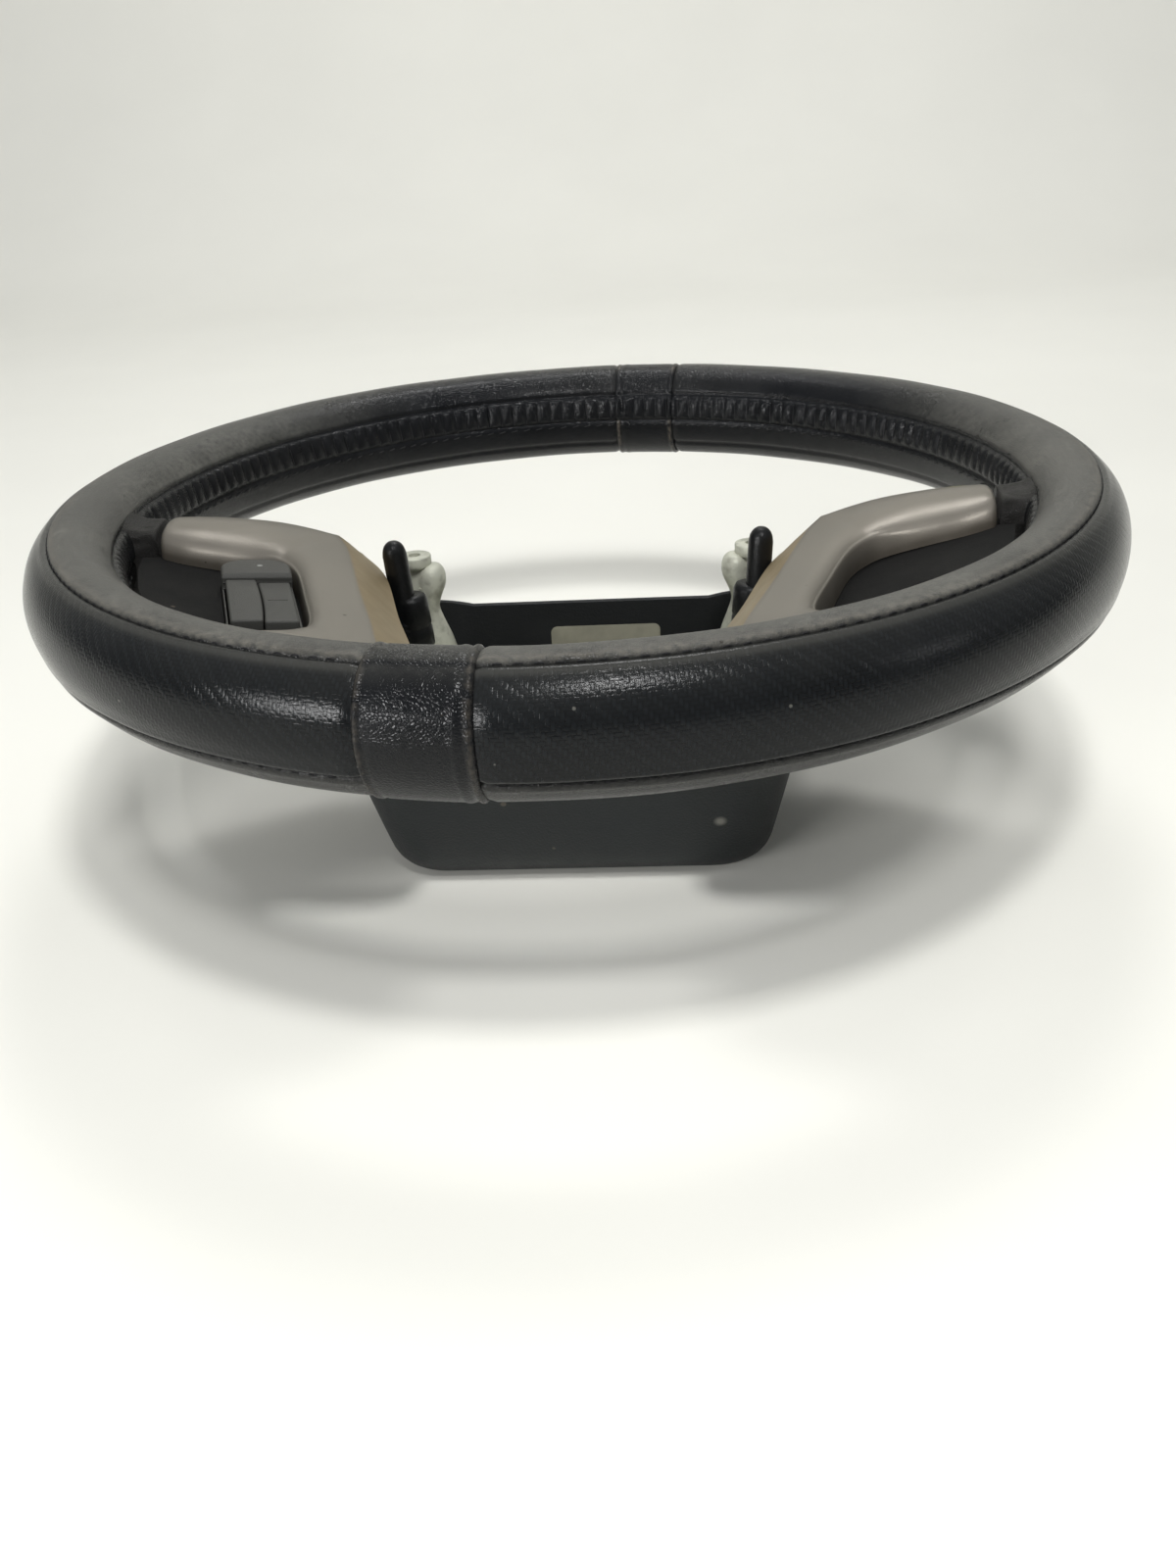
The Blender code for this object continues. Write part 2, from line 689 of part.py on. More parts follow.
def make_panel(name, side):
    rows = bezel_rows()
    window = [tuple(edge.lerp(face, 0.04)) for edge, face, foot in rows]
    reach = SPOKE_REACH + PANEL_OVERHANG
    start = LOWER_COLLAR_ANGLE + math.degrees((LOWER_COLLAR_WIDTH / 2 + PANEL_END_GAP) / reach)
    end = UPPER_COLLAR_ANGLE - math.degrees((UPPER_COLLAR_WIDTH / 2 + PANEL_END_GAP) / reach)
    arc = rim_arc(reach, start, end, 6)
    rim_side = [(reach * math.cos(math.radians(a)), reach * math.sin(math.radians(a))) for a in (start, end)]
    outline = window + [rim_side[0]] + arc + [rim_side[1]]
    loops = []
    for drop in (WINDOW_DEPTH + CLEARANCE + PANEL_THICKNESS, WINDOW_DEPTH + CLEARANCE):
        loops.append([(x, y, face_height(x, y) - drop) for x, y in outline])
    return finish(loft(name, on_side(loops, side)), "dark_plastic")


def make_collar(name, side, angle, half_width, arm_cutter):
    """A sleeve round an arm from the bezel's end to the rim."""
    x = SPOKE_REACH * math.cos(math.radians(angle))
    y = SPOKE_REACH * math.sin(math.radians(angle))
    top = face_height(x, y) - RIM_HEIGHT - COLLAR_STEP
    foot = top - SHELL_DEPTH + COLLAR_SHORT
    chamfer = COLLAR_CHAMFER
    loops = []
    for reach in (SPOKE_REACH + 3 * CLEARANCE, GRIP_INNER_RADIUS + GRIP_HALF_WIDTH / 2):
        loops.append(
            [
                (reach, -half_width, foot + chamfer),
                (reach, -half_width + chamfer, foot),
                (reach, half_width - chamfer, foot),
                (reach, half_width, foot + chamfer),
                (reach, half_width, top - chamfer),
                (reach, half_width - chamfer, top),
                (reach, -half_width + chamfer, top),
                (reach, -half_width, top - chamfer),
            ]
        )
    turn = math.radians(angle)
    placed = []
    for loop in loops:
        placed.append(
            [
                (
                    side * (u * math.cos(turn) - v * math.sin(turn)),
                    u * math.sin(turn) + v * math.cos(turn),
                    RIM_HEIGHT + w,
                )
                for u, v, w in loop
            ]
        )
    collar = loft(name, placed)
    combine(collar, grip_ring("grip_cutter", -CLEARANCE))
    combine(collar, arm_cutter, keep=True)
    return finish(collar, "collar_rubber")


# The armature


def arm_sections(upper, grow):
    """Rectangular sections of an arm from the hub plate to round the rim's core, on the right side.

    Each is (plan point, bottom, top). The middle ones follow the bezel's face at a fixed depth.
    """
    seat = SHELL_DEPTH - SHELL_WALL - 2 * CLEARANCE
    low = PLATE_BOTTOM + OVERLAP
    collar = CORE_RADIUS + CORE_GRIP
    end = RIM_RADIUS + collar
    step_in = GRIP_INNER_RADIUS - LEATHER_THICKNESS
    step_out = RIM_RADIUS - CORE_CLAMP_REACH
    hub_points = ((50.0, -20.0), (62.0, -20.0), (74.0, -18.5), (81.0, -17.5))
    angle = UPPER_COLLAR_ANGLE
    if not upper:
        hub_points = ((34.0, -42.0), (46.0, -62.0), (57.0, -82.0), (66.0, -98.0))
        angle = LOWER_COLLAR_ANGLE
    direction = Vector((math.cos(math.radians(angle)), math.sin(math.radians(angle))))
    spots = [plan(point) for point in hub_points]
    spots += [direction * reach for reach in (SPOKE_REACH, step_in, step_out, end)]
    faces = [face_height(*spot) for spot in spots]
    knee = (PLATE_TOP + faces[3] - seat) / 2 - ARM_KNEE_DROP
    spans = [
        (low, PLATE_TOP - OVERLAP),
        (low, PLATE_TOP + ARM_ROOT_RISE),
        (knee, knee + ARM_DEPTH + 2 * OVERLAP),
        (faces[3] - seat, faces[3] - seat + ARM_DEPTH),
        (faces[4] - seat, faces[4] - seat + ARM_DEPTH),
        (RIM_HEIGHT - collar - ARM_KNEE_DROP, RIM_HEIGHT + collar / 2),
        (RIM_HEIGHT - collar, RIM_HEIGHT + collar),
        (RIM_HEIGHT - collar, RIM_HEIGHT + collar),
    ]
    half = (UPPER_ARM_WIDTH if upper else LOWER_ARM_WIDTH) / 2 + grow
    loops = []
    for index, (spot, (bottom, top)) in enumerate(zip(spots, spans)):
        before = spots[max(index - 1, 0)]
        after = spots[min(index + 1, len(spots) - 1)]
        along = direction if index > 3 else (after - before).normalized()
        if index == len(spots) - 1:
            spot = spot + along * grow
        beside = Vector((-along.y, along.x)) * half
        near = spot - beside
        far = spot + beside
        loops.append(
            [
                (near.x, near.y, bottom - grow),
                (far.x, far.y, bottom - grow),
                (far.x, far.y, top + grow),
                (near.x, near.y, top + grow),
            ]
        )
    return loops


def arm(name, side, upper, grow=0.0):
    return loft(name, on_side(arm_sections(upper, grow), side))


# A cast ear: height, shift from its middle, half-width and half-depth, in millimetres for an ear
# 47 mm tall. It has a flared foot, a slim stem and a swollen head.
DRAWN_EAR = 47.0 * MM
EAR_ROWS = (
    (-1.0, -1.0, 9.0, 9.4),
    (8.0, -1.2, 8.0, 8.6),
    (16.0, -1.2, 6.2, 7.4),
    (23.0, -0.6, 4.2, 6.4),
    (29.0, 0.2, 3.3, 6.0),
    (34.0, -0.4, 4.1, 6.2),
    (39.0, -1.3, 5.2, 6.8),
    (43.5, -1.7, 4.8, 6.4),
    (47.0, -1.7, 3.2, 4.6),
)
EAR_SIDES = 12


def make_ear(side):
    corners = [math.tau * (step + 0.5) / EAR_SIDES for step in range(EAR_SIDES)]
    loops = []
    for row in EAR_ROWS:
        height, shift, half_x, half_y = [value * MM for value in row]
        loop = []
        for corner in corners:
            x = EAR_X + shift + half_x * math.cos(corner)
            y = EAR_Y + half_y * math.sin(corner)
            loop.append((side * x, y, PLATE_TOP + height * EAR_HEIGHT / DRAWN_EAR))
        loops.append(loop)
    return loft("ear", loops)


def make_airbag_seat(side):
    """The round seat beside an ear, on its own post."""
    top = PLATE_TOP + SEAT_HEIGHT
    profile = (
        (SEAT_POST_RADIUS, PLATE_TOP - OVERLAP),
        (SEAT_POST_RADIUS, top - SEAT_THICKNESS - OVERLAP),
        (SEAT_RADIUS, top - SEAT_THICKNESS),
        (SEAT_RADIUS, top),
    )
    return turned("seat", profile, 20, (side * SEAT_X, SEAT_Y))


def plate_outline():
    """Plan of the hub plate, which fits inside the rear cover with its corners cut off."""
    half = cover_row(PLATE_BOTTOM)[1] - COVER_WALL - PLATE_SIDE_GAP
    shoulder = PLATE_NEAR_Y + 4 / 3 * PLATE_CORNER
    right = (
        (half - 1.2 * PLATE_CORNER, PLATE_NEAR_Y),
        (half, shoulder),
        (half, PLATE_FAR_Y - 0.6 * PLATE_CORNER),
        (half - PLATE_CORNER / 3, PLATE_FAR_Y - PLATE_CORNER / 4),
        (half - PLATE_CORNER, PLATE_FAR_Y),
    )
    return right + tuple((-x, y) for x, y in reversed(right))


def cover_screw_spots():
    return [
        (side * COVER_SCREW_X, y)
        for side in (1, -1)
        for y in (COVER_SCREW_FAR_Y, COVER_SCREW_NEAR_Y)
    ]


def make_armature():
    loops = [[(x, y, z) for x, y in plate_outline()] for z in (PLATE_BOTTOM, PLATE_TOP)]
    casting = loft("armature", loops)
    boss = cylinder("boss", BOSS_RADIUS, BOSS_FOOT, PLATE_TOP + BOSS_RISE, steps=28)
    combine(casting, boss, "UNION")
    for side in (1, -1):
        combine(casting, arm("arm", side, True), "UNION")
        combine(casting, arm("arm", side, False), "UNION")
        combine(casting, make_ear(side), "UNION")
        combine(casting, make_airbag_seat(side), "UNION")
        pin_top = PLATE_TOP + PIN_BOSS_HEIGHT
        profile = (
            (0.7 * PIN_BOSS_RADIUS, PLATE_TOP - OVERLAP),
            (PIN_BOSS_RADIUS, PLATE_TOP + 0.5 * PIN_BOSS_HEIGHT),
            (PIN_BOSS_RADIUS, pin_top),
        )
        combine(casting, turned("pin_boss", profile, 16, (side * pin_x(), 0.0)), "UNION")
        stud = PIN_STUD_RADIUS + CLEARANCE
        stud_foot = -PIN_STUD_LENGTH - 2 * CLEARANCE
        hole = cylinder("stud_hole", stud, stud_foot, PIN_BOSS_RADIUS, steps=12, frame=pin_frame(side))
        combine(casting, hole)
        seat_top = PLATE_TOP + SEAT_HEIGHT
        dent = ((DIMPLE_RADIUS / 2, seat_top - DIMPLE_DEPTH), (DIMPLE_RADIUS, seat_top + OVERLAP))
        combine(casting, turned("dimple", dent, 12, (side * SEAT_X, SEAT_Y)))
        harness_spot = (side * HARNESS_HOLE_X, HARNESS_HOLE_Y)
        combine(casting, cylinder("harness", HARNESS_HOLE_RADIUS, 0.0, RIM_HEIGHT, harness_spot, 16))
    for spot in cover_screw_spots():
        thread = cylinder("thread", COVER_SCREW_RADIUS + CLEARANCE, 0.0, RIM_HEIGHT, spot, 12)
        combine(casting, thread)
    combine(casting, cylinder("bore", INSERT_RADIUS + CLEARANCE, 0.0, RIM_HEIGHT, steps=28))
    combine(casting, core_ring("core_cutter", CORE_RADIUS + CLEARANCE))
    return finish(casting, "cast_metal")


def make_hub_insert():
    """Steel bush with a splined bore and a flange under the boss."""
    top = PLATE_TOP + BOSS_RISE + INSERT_RISE
    flange_top = BOSS_FOOT - CLEARANCE
    flange_radius = INSERT_RADIUS + INSERT_FLANGE_WIDTH
    profile = (
        (flange_radius, flange_top - INSERT_FLANGE),
        (flange_radius, flange_top),
        (INSERT_RADIUS, flange_top),
        (INSERT_RADIUS, top),
    )
    bush = turned("hub_insert", profile, 28)
    loops = []
    for height in (0.0, RIM_HEIGHT):
        loop = []
        for tooth in range(2 * SPLINE_TEETH):
            radius = SPLINE_RADIUS + (SPLINE_DEPTH if tooth % 2 else 0.0)
            angle = math.pi * tooth / SPLINE_TEETH
            loop.append((radius * math.cos(angle), radius * math.sin(angle), height))
        loops.append(loop)
    combine(bush, loft("spline", loops))
    return finish(bush, "machined_steel")


def pin_x():
    """The pin stands beside the foot of the bezel's bevel, on the wheel's middle line."""
    far, near = [row[2] for row in bezel_rows()[4:6]]
    foot = far.lerp(near, far.y / (far.y - near.y))
    return foot.x - PIN_RADIUS - PIN_RING - PIN_SIDE_GAP


def pin_frame(side):
    """On the pin boss's top, leaning outwards."""
    lean = Matrix.Rotation(math.radians(side * PIN_LEAN_ANGLE), 4, "Y")
    return Matrix.Translation((side * pin_x(), 0.0, PLATE_TOP + PIN_BOSS_HEIGHT)) @ lean


def make_guide_pin(name, side):
    tip = PIN_LENGTH
    collar = PIN_RADIUS + PIN_RING
    rib = PIN_RADIUS + 0.6 * PIN_RING
    neck = PIN_RADIUS + 0.2 * PIN_RING
    profile = (
        (PIN_STUD_RADIUS, -PIN_STUD_LENGTH),
        (PIN_STUD_RADIUS, 2 * CLEARANCE),
        (collar, 3 * CLEARANCE),
        (collar, PIN_COLLAR_TOP),
        (neck, PIN_COLLAR_TOP + PIN_RING),
        (neck, PIN_RIB_TOP - 2 * PIN_RING),
        (rib, PIN_RIB_TOP - 1.5 * PIN_RING),
        (rib, PIN_RIB_TOP),
        (PIN_RADIUS, PIN_RIB_TOP + PIN_RING),
        (PIN_RADIUS, tip - PIN_NOSE),
        (PIN_RADIUS * 0.93, tip - 0.7 * PIN_NOSE),
        (PIN_RADIUS * 0.55, tip - 0.15 * PIN_NOSE),
        (PIN_RADIUS * 0.25, tip),
    )
    return finish(turned(name, profile, 14, frame=pin_frame(side)), "pin_plastic")


# The rear cover

# Height, half-width, near edge, far edge and corner radius of the cover's outside, in millimetres
# for a cover 63 mm tall. The last row is the top edge, which gets its own height.
DRAWN_COVER = 63.0 * MM
COVER_ROWS = (
    (0.0, 62.0, -67.0, 44.0, 16.0),
    (2.0, 66.0, -71.5, 47.0, 18.0),
    (7.0, 69.0, -76.5, 50.0, 20.0),
    (16.0, 71.0, -81.0, 52.5, 22.0),
    (33.0, 74.5, -87.0, 56.0, 25.0),
    (67.0, 81.5, -98.0, 66.0, 30.0),
)
CORNER_STEPS = 5


def cover_rows():
    """The drawn rows in metres, with their heights fitted to the cover's."""
    stretch = (RIM_HEIGHT - COVER_TOP_DROP) / DRAWN_COVER
    return [[row[0] * MM * stretch] + [value * MM for value in row[1:]] for row in COVER_ROWS]


def cover_row(height):
    """The cover's row at a height, between the drawn ones."""
    rows = cover_rows()
    for low, high in zip(rows, rows[1:]):
        if height <= high[0]:
            share = max(0.0, (height - low[0]) / (high[0] - low[0]))
            return [a + (b - a) * share for a, b in zip(low, high)]
    return rows[-1]


def cover_loop(row, wall):
    height, half, near, far, corner = row
    corner = corner - wall
    centres = (
        (half - wall - corner, near + wall + corner, -90),
        (half - wall - corner, far - wall - corner, 0),
        (-half + wall + corner, far - wall - corner, 90),
        (-half + wall + corner, near + wall + corner, 180),
    )
    loop = []
    for x, y, start in centres:
        for step in range(CORNER_STEPS + 1):
            angle = math.radians(start + 90.0 * step / CORNER_STEPS)
            loop.append((x + corner * math.cos(angle), y + corner * math.sin(angle), height))
    return loop


def cover_top(y):
    return RIM_HEIGHT - COVER_TOP_DROP - COVER_TOP_FALL * (y - COVER_SCREW_FAR_Y)


def far_wall_height(x):
    """Top of the wall on the 12 o'clock side, lowest in the middle."""
    return RIM_HEIGHT - FAR_WALL_DROP + FAR_WALL_CURVE * (abs(x) / FAR_WALL_HALF) ** 1.6


def make_rear_cover(arm_cutters):
    rows = cover_rows()
    outer = [cover_loop(row, 0.0) for row in rows[:-1]]
    outer.append([(x, y, cover_top(y)) for x, y, z in cover_loop(rows[-1], 0.0)])
    inner = [[(x, y, cover_top(y)) for x, y, z in cover_loop(rows[-1], COVER_WALL)]]
    for height in [row[0] for row in reversed(rows[2:-1])] + [COVER_FLOOR]:
        inner.append(cover_loop([height] + cover_row(height)[1:], COVER_WALL))
    cover = loft("rear_cover", outer + inner)
    column = cylinder("column", COLUMN_RADIUS, -COVER_FLOOR, PLATE_BOTTOM - OVERLAP, steps=36)
    combine(cover, column)
    dip_half = rows[-1][1] + 10 * OVERLAP
    steps = [dip_half * (step / 6 - 1) for step in range(13)]
    start = rows[-1][3] - rows[-1][4]
    end = rows[-1][3] + rows[-1][4]
    outline = [(x, far_wall_height(x)) for x in steps] + [(x, RIM_HEIGHT) for x in reversed(steps)]
    combine(cover, loft("dip", [[(x, y, z) for x, z in outline] for y in (start, end)]))
    seat = PLATE_BOTTOM - COVER_SCREW_GRIP
    for spot in cover_screw_spots():
        post = cylinder("post", COVER_POST_RADIUS, COVER_FLOOR - OVERLAP, PLATE_BOTTOM - CLEARANCE, spot, 16)
        combine(cover, post, "UNION")
        bore = cylinder("bore", COVER_SCREW_RADIUS + CLEARANCE, seat - OVERLAP, RIM_HEIGHT, spot, 12)
        combine(cover, bore)
        sink = cylinder("sink", SCREW_HEAD_RADIUS + CLEARANCE, -COVER_FLOOR, seat, spot, 16)
        combine(cover, sink)
    for cutter in arm_cutters:
        combine(cover, cutter, keep=True)
    return finish(cover, "rear_plastic")


def make_cover_screws():
    head_top = PLATE_BOTTOM - COVER_SCREW_GRIP - CLEARANCE
    for index, spot in enumerate(cover_screw_spots()):
        screw(f"cover_screw_{index + 1}", spot, COVER_SCREW_RADIUS, head_top, PLATE_TOP - OVERLAP)


def make_label():
    """Blank sticker on the inside of the far wall, laid across the wall's bend."""
    label_top = far_wall_height(LABEL_X) - LABEL_EDGE_GAP
    label_foot = label_top - LABEL_HEIGHT
    low = Vector((LABEL_X, cover_row(label_foot)[3] - COVER_WALL, label_foot))
    high = Vector((LABEL_X, cover_row(label_top)[3] - COVER_WALL, label_top))
    up = (high - low).normalized()
    out = Vector((0.0, -up.z, up.y))
    bends = [row for row in cover_rows() if label_foot < row[0] < label_top]
    lift = CLEARANCE
    for row in bends:
        chord = low.lerp(high, (row[0] - low.z) / (high.z - low.z)).y
        lift = max(lift, chord - row[3] + COVER_WALL + CLEARANCE)
    frame = Matrix((Vector((1.0, 0.0, 0.0)), up, out)).transposed().to_4x4()
    frame.translation = low.lerp(high, 0.5) + out * lift
    half = LABEL_WIDTH / 2
    tall = LABEL_HEIGHT / 2
    sticker = box("label", (-half, -tall, 0.0), (half, tall, LABEL_THICKNESS), frame)
    return finish(sticker, "label_paper")


# The switch pod


def pod_side():
    """The pod's inboard side in its own plan: foot corner and the two ends of the cut head corner."""
    half = POD_WIDTH / 2
    return ((half, -POD_FOOT), (half, POD_HEAD - POD_CORNER), (half - POD_CORNER, POD_HEAD))


def reach_along(line, v):
    """How far outboard a line of (outboard, v) points is at a place along it, from its head down."""
    v = min(max(v, line[-1][1]), line[0][1])
    for (head_out, head_v), (foot_out, foot_v) in zip(line, line[1:]):
        if v >= foot_v:
            break
    return foot_out + (head_out - foot_out) * (v - foot_v) / (head_v - foot_v)


def pod_spot():
    """Middle of the keys in plan: between two rows of the window, clear of its inboard side.

    The side is looked at in the bezel's face and at the panel, where it leans in and so does the pod.
    """
    turn = math.radians(POD_TURN_ANGLE)
    outboard = Vector((math.cos(turn), -math.sin(turn)))
    along = Vector((math.sin(turn), math.cos(turn)))
    rows = bezel_rows()
    foot = rows[POD_FOOT_ROW][0].dot(along)
    middle = foot + POD_PLACE * (rows[POD_HEAD_ROW][0].dot(along) - foot)
    first, last = SIDE_ROWS
    shifts = []
    for depth, draft in ((0.0, 0.0), (WINDOW_DEPTH, WINDOW_DRAFT)):
        side = [window + (window - edge).normalized() * draft for window, edge, foot in rows[first:last + 1]]
        line = [(spot.dot(outboard), spot.dot(along)) for spot in side]
        lean = depth * math.tan(math.radians(POD_TILT_ANGLE))
        shifts += [reach_along(line, middle + v) + u - lean for u, v in pod_side()]
        beside = [out for out, v in line if -POD_FOOT < v - middle < POD_HEAD - POD_CORNER]
        shifts += [out + POD_WIDTH / 2 - lean for out in beside]
    spot = outboard * (max(shifts) + POD_SIDE_GAP) + along * middle
    return -spot.x, spot.y


def pod_frame():
    """u inboard, v to 12 o'clock and w out of the key faces, at the middle of the keys."""
    turn = Matrix.Rotation(math.radians(POD_TURN_ANGLE), 4, "Z")
    tilt = Matrix.Rotation(math.radians(POD_TILT_ANGLE), 4, "Y")
    x, y = pod_spot()
    return Matrix.Translation((x, y, face_height(x, y) - POD_DROP)) @ turn @ tilt


def pod_box(name, u, v, w):
    return box(name, (u[0], v[0], w[0]), (u[1], v[1], w[1]), pod_frame())


def pod_prism(name, grow, w, foot_corner=0.0):
    """The pod's outline, with its head corners cut off, between two levels."""
    foot, side, head = [(u + grow, v + math.copysign(grow, v)) for u, v in pod_side()]
    right = (foot, side, head)
    if foot_corner:
        right = ((foot[0] - foot_corner, foot[1]), (foot[0], foot[1] + foot_corner), side, head)
    outline = right + tuple((-u, v) for u, v in reversed(right))
    return loft(name, [[(u, v, level) for u, v in outline] for level in w], pod_frame())


def pod_flange(name, grow, bottom):
    """The flange that holds the pod under the panel, before the panel's underside is cut away."""
    return pod_prism(name, POD_FLANGE + grow, (bottom, HOOD_RISE + OVERLAP), POD_FLANGE_CORNER)


def panel_underside_cutter(name, drop):
    """Everything above the left panel's underside less a drop."""
    reach = GRIP_OUTER_RADIUS
    span = ((-reach, -reach), (0.0, -reach), (0.0, reach), (-reach, reach))
    floor = [(x, y, face_height(x, y) - drop) for x, y in span]
    return loft(name, [floor, [(x, y, 2 * RIM_HEIGHT) for x, y, z in floor]])


def key_sizes():
    """(half width of the well, width of one key, key foot, key head)."""
    half_well = POD_WIDTH / 2 - POD_WALL
    width = half_well - 1.5 * SLIDE_CLEARANCE
    return half_well, width, -POD_FOOT + POD_WALL + SLIDE_CLEARANCE, WELL_TOP - SLIDE_CLEARANCE


def make_switch_housing(arm_cutters):
    half = POD_WIDTH / 2
    half_well = key_sizes()[0]
    housing = pod_prism("switch_housing", 0.0, (-POD_DEPTH, HOOD_RISE))
    above = pod_box("above", (-POD_WIDTH, POD_WIDTH), (-POD_HEAD, WELL_TOP), (-HOOD_RISE, POD_DEPTH))
    combine(housing, above)
    slope = []
    for u in (-half - OVERLAP, half + OVERLAP):
        slope.append(
            [
                (u, WELL_TOP - OVERLAP, HOOD_RISE - HOOD_EDGE),
                (u, WELL_TOP + HOOD_EDGE, HOOD_RISE + OVERLAP),
                (u, WELL_TOP - OVERLAP, HOOD_RISE + OVERLAP),
            ]
        )
    combine(housing, loft("slope", slope, pod_frame()))
    under_panel = WINDOW_DEPTH + PANEL_THICKNESS + 2 * CLEARANCE
    flange = pod_flange("flange", 0.0, -POD_DEPTH + OVERLAP)
    combine(flange, panel_underside_cutter("above", under_panel))
    combine(housing, flange, "UNION")
    for cutter in arm_cutters:
        combine(housing, cutter, keep=True)
    well_span = (-POD_FOOT + POD_WALL, WELL_TOP)
    combine(housing, pod_box("well", (-half_well, half_well), well_span, (-WELL_DEPTH, POD_DEPTH)))
    recess_top = -WELL_DEPTH - WELL_FLOOR
    foot, head = recess_span()
    recess = pod_box("recess", (-half_well, half_well), (foot, head), (-2 * POD_DEPTH, recess_top))
    combine(housing, recess)
    for u, v in plunger_spots():
        radius = PLUNGER_RADIUS + SLIDE_CLEARANCE
        levels = (recess_top - OVERLAP, -WELL_DEPTH + OVERLAP)
        combine(housing, cylinder("hole", radius, *levels, (u, v), 12, pod_frame()))
    levels = (HOOD_RISE - LENS_DEPTH, HOOD_RISE + OVERLAP)
    combine(housing, cylinder("lens_hole", LENS_RADIUS + CLEARANCE, *levels, lens_spot(), 12, pod_frame()))
    return finish(housing, "key_plastic")


def recess_span():
    """Foot and head of the space behind the well, short of the cut corners."""
    return -POD_FOOT + POD_RECESS_WALL, POD_HEAD - POD_CORNER - POD_RECESS_WALL


def lens_spot():
    return LENS_U, POD_HEAD - LENS_HEAD_GAP


def key_middle(column):
    """Middle of a key: column -1 is outboard, +1 inboard."""
    half_well, width, foot, head = key_sizes()
    return column * (half_well - SLIDE_CLEARANCE - width / 2), (foot + head) / 2


def plunger_spots():
    outboard = key_middle(-1)
    inboard = key_middle(1)
    reach = (key_sizes()[3] - key_sizes()[2]) * 0.32
    return (outboard, (inboard[0], inboard[1] + reach), (inboard[0], inboard[1] - reach))


def key_body(name, column, drop, origin_w):
    """A key with a softly crowned face, about an origin at its middle."""
    half_well, width, foot, head = key_sizes()
    half = width / 2
    tall = (head - foot) / 2
    loops = []
    for share_u, share_v, w in (
        (1.0, 1.0, -KEY_HEIGHT - drop),
        (1.0, 1.0, -KEY_EDGE - drop),
        (0.93, 0.975, -drop),
    ):
        loops.append(
            [
                (-half * share_u, -tall * share_v, w - origin_w),
                (half * share_u, -tall * share_v, w - origin_w),
                (half * share_u, tall * share_v, w - origin_w),
                (-half * share_u, tall * share_v, w - origin_w),
            ]
        )
    u, v = key_middle(column)
    frame = pod_frame() @ Matrix.Translation((u, v, origin_w))
    return loft(name, loops, frame), frame


def make_keys():
    mat_top = -WELL_DEPTH - WELL_FLOOR - CLEARANCE
    stem_end = mat_top + KEY_TRAVEL + CLEARANCE
    mode, frame = key_body("mode_key", -1, 0.0, -KEY_HEIGHT / 2)
    levels = (stem_end + KEY_HEIGHT / 2, -KEY_HEIGHT / 2 + OVERLAP)
    combine(mode, cylinder("stem", PLUNGER_RADIUS, *levels, steps=12, frame=frame), "UNION")
    finish(mode, "key_plastic")
    pivot_w = -KEY_HEIGHT + ROCKER_PIVOT
    rocker, frame = key_body("rocker_key", 1, ROCKER_DROP, pivot_w)
    middle = key_middle(1)
    levels = (stem_end - pivot_w + ROCKER_DROP, -KEY_HEIGHT - pivot_w + OVERLAP)
    for u, v in plunger_spots()[1:]:
        spot = (u - middle[0], v - middle[1])
        combine(rocker, cylinder("stem", ROCKER_PLUNGER_RADIUS, *levels, spot, 12, frame), "UNION")
    finish(rocker, "key_plastic")


def make_switch_inside():
    half = key_sizes()[0] - CLEARANCE
    foot = recess_span()[0] + CLEARANCE
    head = recess_span()[1] - CLEARANCE
    mat_top = -WELL_DEPTH - WELL_FLOOR - CLEARANCE
    board_top = mat_top - MAT_THICKNESS - CLEARANCE
    back_top = board_top - BOARD_THICKNESS - CLEARANCE
    mat = pod_box("switch_mat", (-half, half), (foot, head), (mat_top - MAT_THICKNESS, mat_top))
    finish(mat, "silicone")
    board = pod_box("switch_board", (-half, half), (foot, head), (board_top - BOARD_THICKNESS, board_top))
    finish(board, "board")
    back = pod_box("switch_back", (-half, half), (foot, head), (back_top - BACK_THICKNESS, back_top))
    socket_top = back_top - BACK_THICKNESS / 2
    half = SOCKET_WIDTH / 2
    levels = (socket_top - SOCKET_DEPTH, socket_top)
    combine(back, pod_box("socket", (-half, half), (0.0, SOCKET_LENGTH), levels), "UNION")
    half -= SOCKET_WALL
    levels = (socket_top - 2 * SOCKET_DEPTH, socket_top - SOCKET_WALL)
    combine(back, pod_box("mouth", (-half, half), (SOCKET_WALL, SOCKET_LENGTH - SOCKET_WALL), levels))
    finish(back, "dark_plastic")
    levels = (HOOD_RISE - LENS_DEPTH + CLEARANCE, HOOD_RISE)
    finish(cylinder("indicator_lens", LENS_RADIUS, *levels, lens_spot(), 12, pod_frame()), "lens_plastic")


def cut_panel_for_pod(panel):
    combine(panel, pod_prism("opening", CLEARANCE, (-2 * POD_DEPTH, 2 * POD_DEPTH)))
    finish(panel, "dark_plastic")


